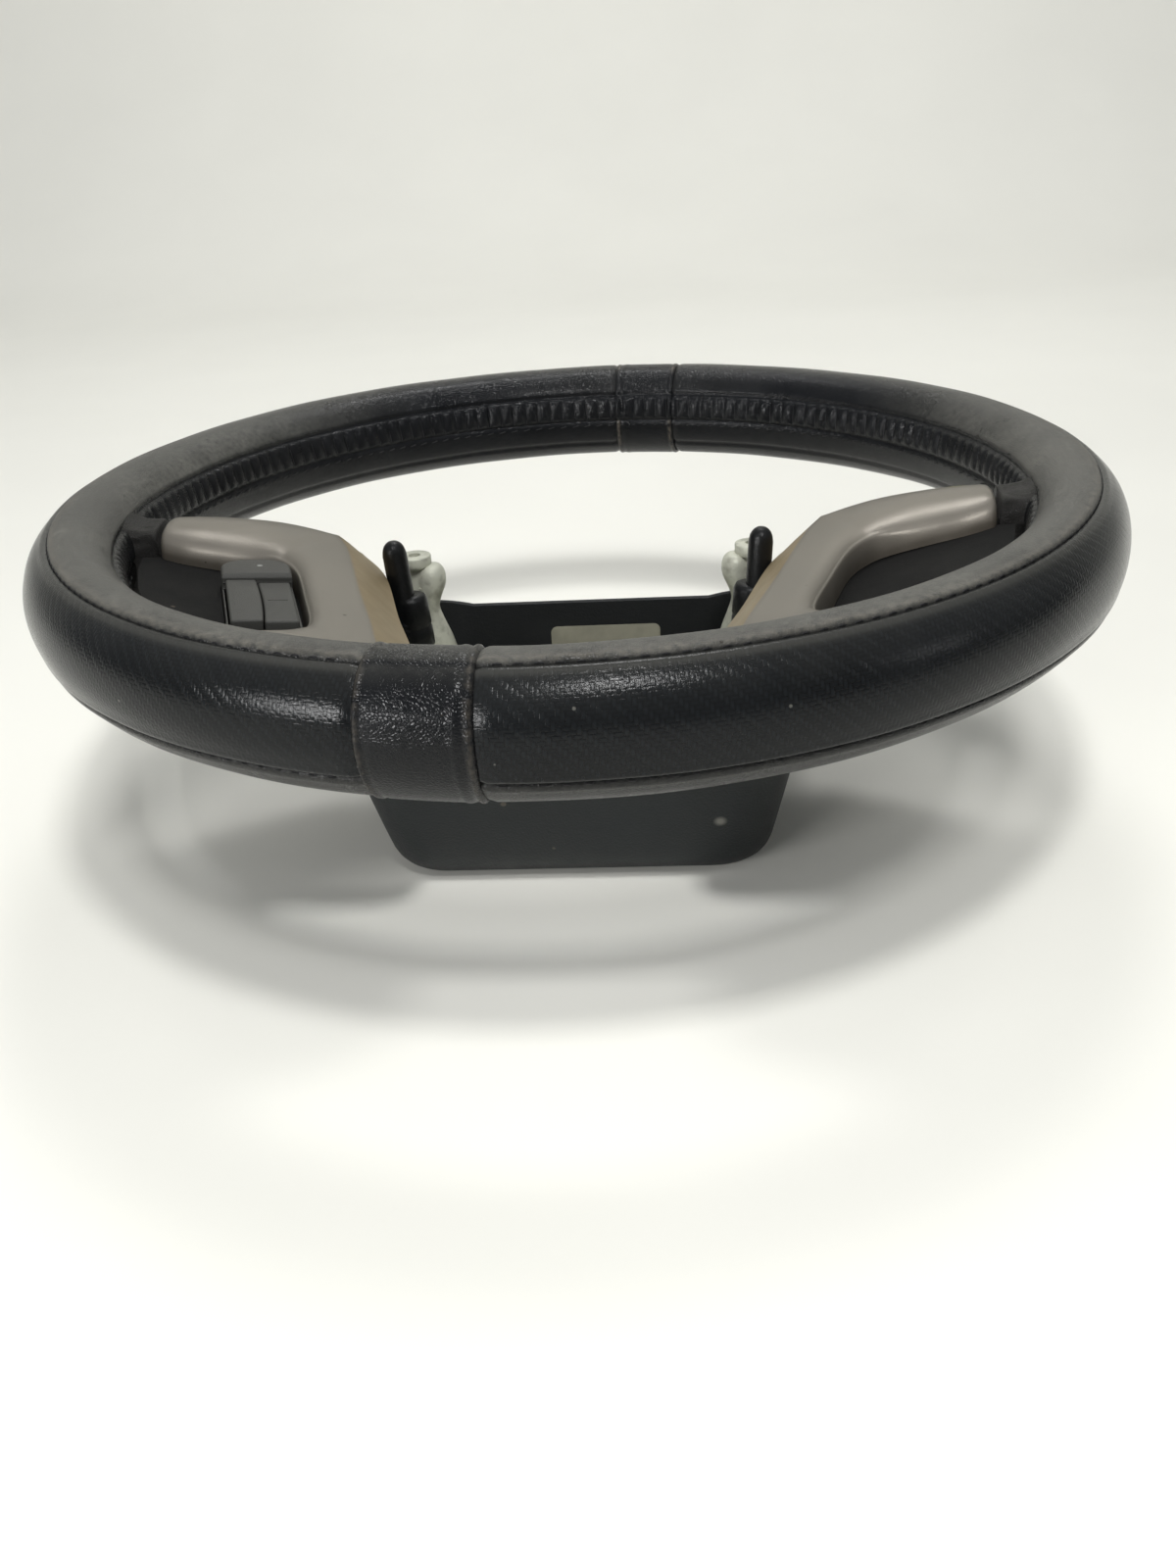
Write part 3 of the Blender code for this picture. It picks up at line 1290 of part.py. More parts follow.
def main():
    clear_scene()
    cutters = {}
    for side in (1, -1):
        for upper in (True, False):
            cutters[side, upper] = arm("arm_cutter", side, upper, CLEARANCE)
    every_cutter = list(cutters.values())
    make_rim(every_cutter)
    make_lacing()
    make_armature()
    make_hub_insert()
    for label, side in (("right", 1), ("left", -1)):
        make_bezel(f"bezel_{label}", side)
        panel = make_panel(f"panel_{label}", side)
        if side < 0:
            cut_panel_for_pod(panel)
        make_shell(f"spoke_shell_{label}", side, [cutters[side, True], cutters[side, False]])
        make_bezel_screws(label, side)
        upper_cutter = cutters[side, True]
        lower_cutter = cutters[side, False]
        make_collar(f"collar_upper_{label}", side, UPPER_COLLAR_ANGLE, UPPER_COLLAR_WIDTH / 2, upper_cutter)
        make_collar(f"collar_lower_{label}", side, LOWER_COLLAR_ANGLE, LOWER_COLLAR_WIDTH / 2, lower_cutter)
        make_guide_pin(f"guide_pin_{label}", side)
    make_rear_cover(every_cutter)
    make_cover_screws()
    make_label()
    make_switch_housing([cutters[-1, True], cutters[-1, False]])
    make_keys()
    make_switch_inside()
    for cutter in every_cutter:
        bpy.data.objects.remove(cutter, do_unlink=True)


if __name__ == "__main__":
    main()
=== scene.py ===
"""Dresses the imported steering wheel: leather grip, lacing, bezels, casting, covers and switch pod.

Laid out as an add-on and run as a script. Metres; +Z faces the driver and +Y is 12 o'clock.
Outlines of a spoke are drawn in millimetres for the right side and mirrored.
"""

import json
import math

import bmesh
import bpy
import numpy as np
from mathutils import Matrix, Vector, noise

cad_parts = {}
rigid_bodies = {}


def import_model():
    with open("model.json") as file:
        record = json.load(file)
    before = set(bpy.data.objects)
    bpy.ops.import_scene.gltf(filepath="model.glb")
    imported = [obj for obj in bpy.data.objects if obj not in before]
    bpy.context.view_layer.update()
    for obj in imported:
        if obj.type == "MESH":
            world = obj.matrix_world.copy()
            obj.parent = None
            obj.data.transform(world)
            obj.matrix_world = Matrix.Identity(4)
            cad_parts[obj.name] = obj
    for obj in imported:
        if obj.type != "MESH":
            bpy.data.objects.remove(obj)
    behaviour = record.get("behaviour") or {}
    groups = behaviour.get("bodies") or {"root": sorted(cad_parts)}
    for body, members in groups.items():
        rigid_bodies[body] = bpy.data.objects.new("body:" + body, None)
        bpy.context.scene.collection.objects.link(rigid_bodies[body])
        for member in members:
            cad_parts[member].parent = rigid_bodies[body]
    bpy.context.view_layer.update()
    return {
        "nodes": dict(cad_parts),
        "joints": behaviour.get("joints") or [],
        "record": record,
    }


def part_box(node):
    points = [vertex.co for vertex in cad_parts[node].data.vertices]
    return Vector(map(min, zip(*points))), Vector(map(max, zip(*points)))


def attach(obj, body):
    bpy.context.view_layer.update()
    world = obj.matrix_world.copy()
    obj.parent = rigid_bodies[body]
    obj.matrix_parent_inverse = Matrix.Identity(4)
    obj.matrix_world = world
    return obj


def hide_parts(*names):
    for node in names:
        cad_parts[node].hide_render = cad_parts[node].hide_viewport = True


bl_info = {
    "name": "Steering wheel looks",
    "version": (1, 0, 0),
    "blender": (4, 5, 0),
    "location": "View3D > Sidebar > Wheel",
    "description": "Leather, lacing, bezels, casting and switches for a steering wheel",
    "category": "Object",
}

for leftover in list(bpy.data.objects):
    bpy.data.objects.remove(leftover, do_unlink=True)
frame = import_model()

MM = 0.001
BODY = "wheel"

# The rim, from the foam that the leather covers
LEATHER = 1.5 * MM
FOAM_DEPTH = 1.8 * MM
foam_low, foam_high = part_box("rim_foam")
RIM_HEIGHT = (foam_low.z + foam_high.z) / 2
GRIP_OUTER = foam_high.x + FOAM_DEPTH
HALF_DEPTH = (foam_high.z - foam_low.z) / 2 + FOAM_DEPTH

# How far a row of stitches lies from its seam
STITCH_LINE = 0.5 * MM

# Angles at which the length round the section is worked out
SECTION_TABLE = np.radians(np.arange(-180.0, 361.0, 0.5))

# The spokes: right bezel in plan, from the rim end of the upper arm round to that of the lower arm.
# Each row has the window's edge, the face's outer edge and the foot of the bevel.
BEZEL_ROWS = (
    ((148.0, -25.5), (148.5, -5.0), (149.0, -1.5)),
    ((138.0, -26.5), (141.0, -1.5), (142.0, 1.5)),
    ((126.0, -25.5), (131.0, 2.5), (132.0, 6.0)),
    ((112.5, -25.0), (113.0, 7.5), (113.5, 14.5)),
    ((104.0, -27.5), (91.5, 8.5), (87.0, 24.0)),
    ((96.0, -38.0), (84.0, -9.0), (72.5, -3.0)),
    ((87.5, -62.0), (71.0, -52.0), (59.5, -47.0)),
    ((80.0, -87.0), (58.5, -91.0), (46.5, -90.0)),
    ((84.0, -96.5), (55.0, -111.0), (49.5, -117.0)),
    ((92.0, -105.0), (73.0, -121.0), (71.0, -125.0)),
    ((98.5, -112.0), (84.5, -123.0), (83.5, -125.0)),
)

# The row at the bevel's corner, steps from row to row on bezels and backs, and the bezel ends' rounding
CORNER_ROW = 4
BEZEL_STEPS = 9
SHELL_STEPS = 6
BEZEL_END_ROUND = 2.4 * MM

# The plane of the bezels' faces: a corner in plan, its drop below the rim's middle, and the slopes
FACE_CORNER = (90.4 * MM, 8.5 * MM)
FACE_DROP = 6.0 * MM
FACE_RISE = 0.27
FACE_FALL = 0.078

# How far the bezels and backs reach from the wheel's axis
SPOKE_REACH = 150.0 * MM

# Screws: the posts' places in a spoke's plan, radii of posts, sinks and heads, and the thread's pitch
BEZEL_POSTS = ((98.5, 1.5), (74.0, -72.0))
POST_RADIUS = 6.5 * MM
SINK_RADIUS = 4.5 * MM
SCREW_HEAD = 4.2 * MM
THREAD_PITCH = 1.2 * MM

# The sleeves: places round the rim in degrees, sizes and the gap to the lacing in millimetres
UPPER_COLLAR = {"angle": -5.5, "width": 22.0}
LOWER_COLLAR = {"angle": -52.1, "width": 18.0}
COLLAR_DROP = 3.2
COLLAR_DEPTH = 31.0
LACING_END_GAP = 7.0

# A chip in the right bezel's paint: place and half sizes in millimetres, and linear colour
CHIP_SPOT = (139.0, 0.0, 116.5)
CHIP_SIZE = (4.0, 2.4, 2.6)
CHIP_YELLOW = (0.42, 0.4, 0.1, 1.0)

# The hub
PLATE_TOP = 38.0 * MM
PLATE_BOTTOM = 30.0 * MM
COVER_SCREWS = ((42.0, 22.0), (42.0, -38.0), (-42.0, 22.0), (-42.0, -38.0))

# Height, half-width, near edge, far edge and corner radius of the rear cover's outside
COVER_ROWS = (
    (0.0, 62.0, -67.0, 44.0, 16.0),
    (2.0, 66.0, -71.5, 47.0, 18.0),
    (7.0, 69.0, -76.5, 50.0, 20.0),
    (16.0, 71.0, -81.0, 52.5, 22.0),
    (33.0, 74.5, -87.0, 56.0, 25.0),
    (67.0, 81.5, -98.0, 66.0, 30.0),
)

# Top edge of the rear cover in millimetres, at the sides and at the lowest place of its far wall
COVER_SIDE_TOP = 63.0
COVER_FAR_TOP = 48.2

# Shares of its height at which the rear cover's outside and inside are drawn
FOOT_SHARES = (0.0, 0.008, 0.02, 0.035, 0.06, 0.1, 0.15, 0.22)
OUTER_SHARES = FOOT_SHARES + (0.3, 0.4, 0.5, 0.6, 0.7, 0.8, 0.9, 0.97, 0.992)
INNER_SHARES = (0.992, 0.9, 0.7, 0.5, 0.3, 0.15)

# The pale mark on the rear cover's near wall
SMUDGE = (50.0 * MM, -85.3 * MM, 28.1 * MM)

# The switch pod, in millimetres along its joints' axes: u inboard, v to 12 o'clock, w out of the keys
ROCKER_MIDDLE = (5.325, -2.75, -6.5)
POD_HALF_WIDTH = 11.8
POD_HEAD = 36.5
POD_FOOT = -25.0
POD_CORNER = 8.0
WELL_HALF_WIDTH = 10.9
WELL_HEAD = 18.6
KEY_EDGE = 10.7
KEY_FOOT = -23.6
KEY_DEPTH = 8.0
KEY_GAP = 0.2
MODE_HEAD = 18.1
ROCKER_HEAD = 16.3


# Sizes and colours


def length(name, description, default):
    """A length property, whose default is written in millimetres."""
    return bpy.props.FloatProperty(
        name=name, description=description, default=default * MM, subtype="DISTANCE", unit="LENGTH"
    )


def angle(name, description, default):
    """An angle property, whose default is written in degrees."""
    return bpy.props.FloatProperty(
        name=name, description=description, default=math.radians(default), subtype="ANGLE"
    )


def colour(name, description, default):
    """A colour property, whose default is written as sRGB from 0 to 255."""
    return bpy.props.FloatVectorProperty(
        name=name,
        description=description,
        default=[part / 255 for part in default],
        subtype="COLOR_GAMMA",
        size=3,
        min=0.0,
        max=1.0,
    )


class GripSettings(bpy.types.PropertyGroup):
    """The leather grip. Angles round its section are 0 outwards and 90 degrees to the driver."""

    half_width: length("Half width", "Half of the grip's section across the rim", 16.3)
    front_seam: angle("Front seam", "Where the outer and front strips meet", 69.0)
    back_seam: angle("Back seam", "Where the outer and back strips meet", -30.0)
    laced_seam: angle("Laced seam", "Where the front and back strips are laced", 185.0)
    front_hem: angle("Front hem", "Crease beside the gathers, on the driver's side", 151.0)
    back_hem: angle("Back hem", "Crease on the far side of the lacing", 220.0)
    joint_angle: angle("Joint angle", "Place of the near joint band round the rim", -98.5)
    joint_width: length("Joint width", "Width of a joint band", 29.0)
    gather_pitch: length("Gather pitch", "Distance from one gather of the lacing to the next", 5.6)
    gather_height: length("Gather height", "How far the gathers stand out", 1.3)
    stitch_pitch: length("Stitch pitch", "Distance from stitch to stitch along the seams", 5.0)
    thread_radius: length("Thread radius", "Half of the thread's thickness", 0.28)


class SpokeSettings(bpy.types.PropertyGroup):
    """The bezels, panels and shells of the spokes."""

    bezel_wall: length("Bezel wall", "Wall of the silver bezels", 2.4)
    bezel_depth: length("Bezel depth", "From the bezel's face to its foot", 16.0)
    window_depth: length("Window depth", "From the bezel's face to the panel", 13.0)
    window_draft: length("Window draft", "How far the window's wall leans in", 1.5)
    shell_depth: length("Shell depth", "From the bezel's face to the back of the spoke", 34.0)
    shell_wall: length("Shell wall", "Wall of the spoke's back", 2.2)
    cover_wall: length("Cover wall", "Wall of the rear cover", 2.6)


class ColourSettings(bpy.types.PropertyGroup):
    """The finishes' colours."""

    embossed: colour("Embossed leather", "Outer strips", (16, 18, 20))
    clean: colour("Clean leather", "Front and back strips where they are rubbed clean", (18, 19, 21))
    dusty: colour("Dusty leather", "Front strips where dust has settled", (104, 103, 97))
    frayed: colour("Frayed edge", "Worn edges of the joint bands", (106, 98, 87))
    thread: colour("Thread", "Seams and lacing", (27, 27, 28))
    silver: colour("Silver paint", "Bezels", (122, 117, 108))
    tan: colour("Tan bevel", "Bevel of the bezels, where the paint has yellowed", (148, 133, 105))
    panel: colour("Panel plastic", "Panels in the bezel windows", (17, 17, 17))
    rear: colour("Rear plastic", "Rear cover and spoke backs", (31, 34, 35))
    collar: colour("Collar", "Sleeves at the spoke ends", (31, 30, 29))
    keys: colour("Key plastic", "Switch pod and keys", (58, 58, 55))
    casting: colour("Casting", "Armature", (192, 193, 178))
    steel: colour("Steel", "Hub insert, core and screws", (140, 139, 135))
    pin: colour("Pin plastic", "Guide pins", (13, 14, 15))
    # The label colour is darker than the sticker's cream so that it holds the shade it lies in inside
    # the rear cover: painted shade.
    label: colour("Label", "Blank sticker", (119, 117, 102))
    dirt: colour("Dirt", "Specks and stains", (54, 48, 40))


class StageSettings(bpy.types.PropertyGroup):
    """Camera, floor and light."""

    camera_place: bpy.props.FloatVectorProperty(
        name="Camera place",
        description="Where the camera stands",
        default=(0.0372, -0.4731, 0.2526),
        subtype="TRANSLATION",
        unit="LENGTH",
    )
    camera_aim: bpy.props.FloatVectorProperty(
        name="Camera aim",
        description="The direction that the camera looks in",
        default=(-0.0711, 0.8782, -0.4729),
        subtype="DIRECTION",
    )
    camera_roll: angle("Camera roll", "Turn of the camera about its aim", 3.65)
    lens: bpy.props.FloatProperty(
        name="Lens",
        description="Focal length on a 36 mm sensor, in millimetres",
        default=30.15,
        min=1.0,
    )
    floor: colour("Floor", "Floor and backdrop", (236, 235, 227))
    lamp_power: bpy.props.FloatProperty(
        name="Lamp power", description="Power of the main lamp", default=4.35, unit="POWER"
    )


# Meshes


def hump(distance, middle, width):
    """A soft bump of height 1."""
    return np.exp(-(((distance - middle) / width) ** 2))


def soft_step(value, start, end):
    """A smooth rise from 0 to 1."""
    share = np.clip((value - start) / (end - start), 0.0, 1.0)
    return share * share * (3.0 - 2.0 * share)


def grid_faces(rows, columns, closed_rows=False, closed_columns=False):
    """Quads over a grid of points, row by row."""
    index = np.arange(rows * columns).reshape(rows, columns)
    if closed_rows:
        index = np.vstack((index, index[:1]))
    if closed_columns:
        index = np.hstack((index, index[:, :1]))
    quads = np.stack((index[:-1, :-1], index[1:, :-1], index[1:, 1:], index[:-1, 1:]), axis=-1)
    return quads.reshape(-1, 4)


def sheet_solid(top, under):
    """Points and faces of a closed sheet between two grids of the same shape."""
    rows, columns = top.shape[:2]
    count = rows * columns
    index = np.arange(count).reshape(rows, columns)
    border = np.concatenate((index[0, :-1], index[:-1, -1], index[-1, :0:-1], index[:0:-1, 0]))
    after = np.roll(border, -1)
    quads = grid_faces(rows, columns)
    walls = np.stack((border, after, after + count, border + count), axis=-1)
    points = np.concatenate((top.reshape(-1, 3), under.reshape(-1, 3)))
    return points, np.concatenate((quads, quads[:, ::-1] + count, walls)).tolist()


def loft_solid(loops):
    """Points and faces of a solid through loops of equal length, with flat ends."""
    loops = np.asarray(loops, float)
    rows, columns = loops.shape[:2]
    faces = grid_faces(rows, columns, closed_columns=True).tolist()
    faces.append(list(range(columns)))
    faces.append(list(range((rows - 1) * columns, rows * columns)))
    return loops.reshape(-1, 3), faces


def turned_solid(profile, steps, centre=(0.0, 0.0)):
    """Points and faces of a solid turned about an upright axis, from (radius, height) running up."""
    angles = np.linspace(0.0, math.tau, steps, endpoint=False)
    loops = []
    for radius, height in profile:
        x = centre[0] + radius * np.cos(angles)
        y = centre[1] + radius * np.sin(angles)
        loops.append(np.stack((x, y, np.full(steps, height)), axis=-1))
    return loft_solid(loops)


def turned_mm(profile, steps, centre=(0.0, 0.0)):
    """The same from a profile in millimetres."""
    return turned_solid(np.array(profile) * MM, steps, centre)


def tube_solid(path, radii, sides=6):
    """Points and faces of a round tube along a path."""
    path = np.asarray(path, float)
    radii = np.broadcast_to(radii, len(path))
    along = np.gradient(path, axis=0)
    along /= np.linalg.norm(along, axis=1)[:, None]
    off_path = np.array((0.31, 0.17, 0.93))
    across = np.cross(along, off_path)
    across /= np.linalg.norm(across, axis=1)[:, None]
    beside = np.cross(along, across)
    loops = []
    for corner in np.linspace(0.0, math.tau, sides, endpoint=False):
        ring = across * math.cos(corner) + beside * math.sin(corner)
        loops.append(path + ring * radii[:, None])
    return loft_solid(np.stack(loops, axis=1))


def gathered(parts):
    """Several (points, faces) as one."""
    points = []
    faces = []
    start = 0
    for some_points, some_faces in parts:
        points.append(np.asarray(some_points, float))
        faces.extend([[corner + start for corner in face] for face in some_faces])
        start += len(some_points)
    return np.concatenate(points), faces


def plain_mesh(name, points, faces):
    """An object with its faces turned outwards."""
    mesh = bpy.data.meshes.new(name)
    mesh.from_pydata(np.asarray(points, float).tolist(), [], faces)
    work = bmesh.new()
    work.from_mesh(mesh)
    bmesh.ops.recalc_face_normals(work, faces=work.faces)
    work.to_mesh(mesh)
    work.free()
    made = bpy.data.objects.new(name, mesh)
    bpy.context.scene.collection.objects.link(made)
    return made


def applied(obj):
    """The object with its modifiers worked into its mesh."""
    bpy.context.view_layer.update()
    graph = bpy.context.evaluated_depsgraph_get()
    mesh = bpy.data.meshes.new_from_object(obj.evaluated_get(graph))
    obj.modifiers.clear()
    obj.data = mesh
    return obj


def combined(obj, tool, operation="DIFFERENCE"):
    """Cuts a tool from the object, or joins it on, and drops the tool."""
    modifier = obj.modifiers.new(operation.lower(), "BOOLEAN")
    modifier.operation = operation
    modifier.solver = "EXACT"
    modifier.object = tool
    applied(obj)
    bpy.data.objects.remove(tool, do_unlink=True)
    return obj


def rounded(obj, width, segments=3, limit=35.0):
    """Rounds the object's hard edges."""
    modifier = obj.modifiers.new("round", "BEVEL")
    modifier.width = width
    modifier.segments = segments
    modifier.limit_method = "ANGLE"
    modifier.angle_limit = math.radians(limit)
    return applied(obj)


def thickened(obj, wall):
    """Gives an open surface a wall on its inner side."""
    modifier = obj.modifiers.new("wall", "SOLIDIFY")
    modifier.thickness = wall
    modifier.offset = -1.0
    return applied(obj)


def write_uv(mesh, uv):
    """Writes a texture place for each point."""
    layer = mesh.uv_layers.new(name="UVMap")
    corners = np.zeros(len(mesh.loops), np.int32)
    mesh.loops.foreach_get("vertex_index", corners)
    layer.data.foreach_set("uv", np.asarray(uv, np.float32)[corners].ravel())


def write_values(mesh, name, values):
    """Writes a named value for each point, which the finishes read."""
    layer = mesh.attributes.new(name, "FLOAT", "POINT")
    layer.data.foreach_set("value", np.asarray(values, np.float32).ravel())


def dressed(obj, slot, nodes=(), body=BODY, crease=42.0):
    """Gives a piece the finish of its slot, smooth shading and a body, and hides the nodes that it
    stands for.
    """
    obj.data.materials.clear()
    obj.data.materials.append(FINISHES[slot])
    obj.data.shade_smooth()
    obj.data.set_sharp_from_angle(angle=math.radians(crease))
    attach(obj, body)
    if nodes:
        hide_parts(*nodes)
    return obj


def smooth_path(points, steps, corners=()):
    """Points along a smooth curve through the given ones, with sharp turns at the named rows."""
    points = np.asarray(points, float)
    path = []
    last = len(points) - 1
    for row in range(last):
        here = points[row]
        there = points[row + 1]
        before = points[row - 1] if row > 0 and row not in corners else 2 * here - there
        after = points[row + 2] if row + 2 <= last and row + 1 not in corners else 2 * there - here
        for step in range(steps):
            t = step / steps
            path.append(
                0.5
                * (
                    2 * here
                    + (there - before) * t
                    + (2 * before - 5 * here + 4 * there - after) * t**2
                    + (3 * here - before - 3 * there + after) * t**3
                )
            )
    path.append(points[-1])
    return np.array(path)


# Shader nodes


def put(tree, socket, value):
    """Sets a socket, or links another into it."""
    if isinstance(value, bpy.types.NodeSocket):
        tree.links.new(value, socket)
    else:
        socket.default_value = value


def add(tree, kind, values=None, **settings):
    """A new node with its settings and the values of its inputs."""
    made = tree.nodes.new(kind)
    for name, value in settings.items():
        setattr(made, name, value)
    for name, value in (values or {}).items():
        put(tree, made.inputs[name], value)
    return made


def maths(tree, operation, first, second=0.0, third=0.0):
    made = add(tree, "ShaderNodeMath", operation=operation)
    for socket, value in zip(made.inputs, (first, second, third)):
        put(tree, socket, value)
    return made.outputs[0]


def mixed(tree, share, first, second):
    """A mix of two colours."""
    made = add(tree, "ShaderNodeMix", data_type="RGBA")
    put(tree, made.inputs[0], share)
    put(tree, made.inputs[6], first)
    put(tree, made.inputs[7], second)
    return made.outputs[2]


def spread(tree, value, low, high, to_low=0.0, to_high=1.0):
    """A value brought from one range to another, and kept in it."""
    made = add(tree, "ShaderNodeMapRange", clamp=True)
    for name, number in (
        ("Value", value),
        ("From Min", low),
        ("From Max", high),
        ("To Min", to_low),
        ("To Max", to_high),
    ):
        put(tree, made.inputs[name], number)
    return made.outputs[0]


def effect(name, inputs, outputs):
    """An empty node group with its sockets: inputs are (name, kind, default)."""
    tree = bpy.data.node_groups.new(name, "ShaderNodeTree")
    for socket_name, kind, default in inputs:
        socket = tree.interface.new_socket(socket_name, in_out="INPUT", socket_type=kind)
        if default is not None:
            socket.default_value = default
    for socket_name, kind in outputs:
        tree.interface.new_socket(socket_name, in_out="OUTPUT", socket_type=kind)
    entry = tree.nodes.new("NodeGroupInput")
    leave = tree.nodes.new("NodeGroupOutput")
    return tree, entry.outputs, leave.inputs


FLOAT = "NodeSocketFloat"
VECTOR = "NodeSocketVector"


def build_cloudy():
    """Soft patches of a given size, from 0 to 1."""
    tree, given, out = effect(
        "Cloudy patches",
        (("Vector", VECTOR, None), ("Size", FLOAT, 0.03), ("Detail", FLOAT, 3.0)),
        (("Patches", FLOAT),),
    )
    scale = maths(tree, "DIVIDE", 1.0, given["Size"])
    cloud = add(
        tree,
        "ShaderNodeTexNoise",
        {"Vector": given["Vector"], "Scale": scale, "Detail": given["Detail"]},
    )
    put(tree, out["Patches"], spread(tree, cloud.outputs[0], 0.3, 0.7))


def build_pebbles():
    """Leather grain: rounded pebbles with fine creases between them."""
    tree, given, out = effect(
        "Leather pebbles",
        (("Vector", VECTOR, None), ("Size", FLOAT, 0.0008)),
        (("Height", FLOAT),),
    )
    scale = maths(tree, "DIVIDE", 1.0, given["Size"])
    cells = add(
        tree,
        "ShaderNodeTexVoronoi",
        {"Vector": given["Vector"], "Scale": scale, "Randomness": 0.9},
        feature="DISTANCE_TO_EDGE",
    )
    wrinkle = add(
        tree, "ShaderNodeTexNoise", {"Vector": given["Vector"], "Scale": scale, "Detail": 4.0}
    )
    pebble = spread(tree, cells.outputs["Distance"], 0.0, 0.22)
    put(tree, out["Height"], maths(tree, "MULTIPLY_ADD", wrinkle.outputs[0], 0.5, pebble))


def build_twill():
    """An embossed twill: ribbed floats two cells long that step along the diagonal."""
    tree, given, out = effect(
        "Embossed twill",
        (("Vector", VECTOR, None), ("Pitch", FLOAT, 0.0022)),
        (("Height", FLOAT),),
    )
    parts = add(tree, "ShaderNodeSeparateXYZ", {"Vector": given["Vector"]})
    across = maths(tree, "DIVIDE", parts.outputs["X"], given["Pitch"])
    along = maths(tree, "DIVIDE", parts.outputs["Y"], given["Pitch"])
    column = maths(tree, "FLOOR", across)
    row = maths(tree, "FLOOR", along)
    in_column = maths(tree, "FRACT", across)
    in_row = maths(tree, "FRACT", along)
    phase = maths(tree, "FLOORED_MODULO", maths(tree, "ADD", column, row), 4.0)
    on_top = maths(tree, "LESS_THAN", phase, 1.5)
    warp_run = maths(tree, "MULTIPLY", maths(tree, "ADD", phase, in_row), math.pi / 2)
    weft_phase = maths(tree, "SUBTRACT", phase, 2.0)
    weft_run = maths(tree, "MULTIPLY", maths(tree, "ADD", weft_phase, in_column), math.pi / 2)
    warp_round = maths(tree, "SINE", maths(tree, "MULTIPLY", in_column, math.pi))
    weft_round = maths(tree, "SINE", maths(tree, "MULTIPLY", in_row, math.pi))
    warp = maths(tree, "MULTIPLY", warp_round, maths(tree, "SINE", warp_run))
    weft = maths(tree, "MULTIPLY", weft_round, maths(tree, "SINE", weft_run))
    warp_ribs = maths(tree, "SINE", maths(tree, "MULTIPLY", in_column, 6 * math.pi))
    weft_ribs = maths(tree, "SINE", maths(tree, "MULTIPLY", in_row, 6 * math.pi))
    warp = maths(tree, "MULTIPLY_ADD", warp_ribs, 0.12, warp)
    weft = maths(tree, "MULTIPLY", maths(tree, "MULTIPLY_ADD", weft_ribs, 0.12, weft), 0.4)
    difference = maths(tree, "SUBTRACT", warp, weft)
    both = maths(tree, "MULTIPLY_ADD", difference, on_top, weft)
    put(tree, out["Height"], maths(tree, "POWER", maths(tree, "MAXIMUM", both, 0.0), 0.6))


def build_dust():
    """Dust that settles on faces turned upwards, in patches."""
    tree, given, out = effect(
        "Settled dust",
        (("Vector", VECTOR, None), ("Amount", FLOAT, 0.5), ("Patch Size", FLOAT, 0.02)),
        (("Mask", FLOAT),),
    )
    facing = add(tree, "ShaderNodeNewGeometry")
    parts = add(tree, "ShaderNodeSeparateXYZ", {"Vector": facing.outputs["Normal"]})
    upward = spread(tree, parts.outputs["Z"], 0.1, 0.95)
    scale = maths(tree, "DIVIDE", 1.0, given["Patch Size"])
    coarse = add(tree, "ShaderNodeTexNoise", {"Vector": given["Vector"], "Scale": scale, "Detail": 6.0})
    patches = spread(tree, coarse.outputs[0], 0.25, 0.75, 0.45, 1.0)
    settled = maths(tree, "MULTIPLY", upward, patches)
    put(tree, out["Mask"], maths(tree, "MULTIPLY", settled, given["Amount"]))


def build_specks():
    """Scattered specks of dirt of uneven size."""
    tree, given, out = effect(
        "Dirt specks",
        (("Vector", VECTOR, None), ("Spacing", FLOAT, 0.006), ("Share", FLOAT, 0.25)),
        (("Mask", FLOAT),),
    )
    scale = maths(tree, "DIVIDE", 1.0, given["Spacing"])
    wobble = add(
        tree, "ShaderNodeTexNoise", {"Vector": given["Vector"], "Scale": scale, "Detail": 5.0}
    )
    cells = add(tree, "ShaderNodeTexVoronoi", {"Vector": given["Vector"], "Scale": scale})
    chance = add(tree, "ShaderNodeSeparateColor", {"Color": cells.outputs["Color"]})
    present = maths(tree, "LESS_THAN", chance.outputs[0], given["Share"])
    size = maths(tree, "MULTIPLY_ADD", chance.outputs[1], 0.12, 0.03)
    uneven = maths(tree, "MULTIPLY_ADD", wobble.outputs[0], 0.25, cells.outputs["Distance"])
    edge = maths(tree, "SUBTRACT", maths(tree, "ADD", size, 0.125), uneven)
    speck = spread(tree, edge, 0.0, 0.03)
    put(tree, out["Mask"], maths(tree, "MULTIPLY", speck, present))


def build_moulded():
    """Fine grain of a moulded plastic."""
    tree, given, out = effect(
        "Moulded grain",
        (("Vector", VECTOR, None), ("Size", FLOAT, 0.0006)),
        (("Height", FLOAT),),
    )
    scale = maths(tree, "DIVIDE", 1.0, given["Size"])
    fine = add(
        tree, "ShaderNodeTexNoise", {"Vector": given["Vector"], "Scale": scale, "Detail": 2.0}
    )
    cells = add(tree, "ShaderNodeTexVoronoi", {"Vector": given["Vector"], "Scale": scale})
    put(
        tree,
        out["Height"],
        maths(tree, "MULTIPLY_ADD", cells.outputs["Distance"], -0.6, fine.outputs[0]),
    )


def build_effects():
    for build in (build_cloudy, build_pebbles, build_twill, build_dust, build_specks, build_moulded):
        build()


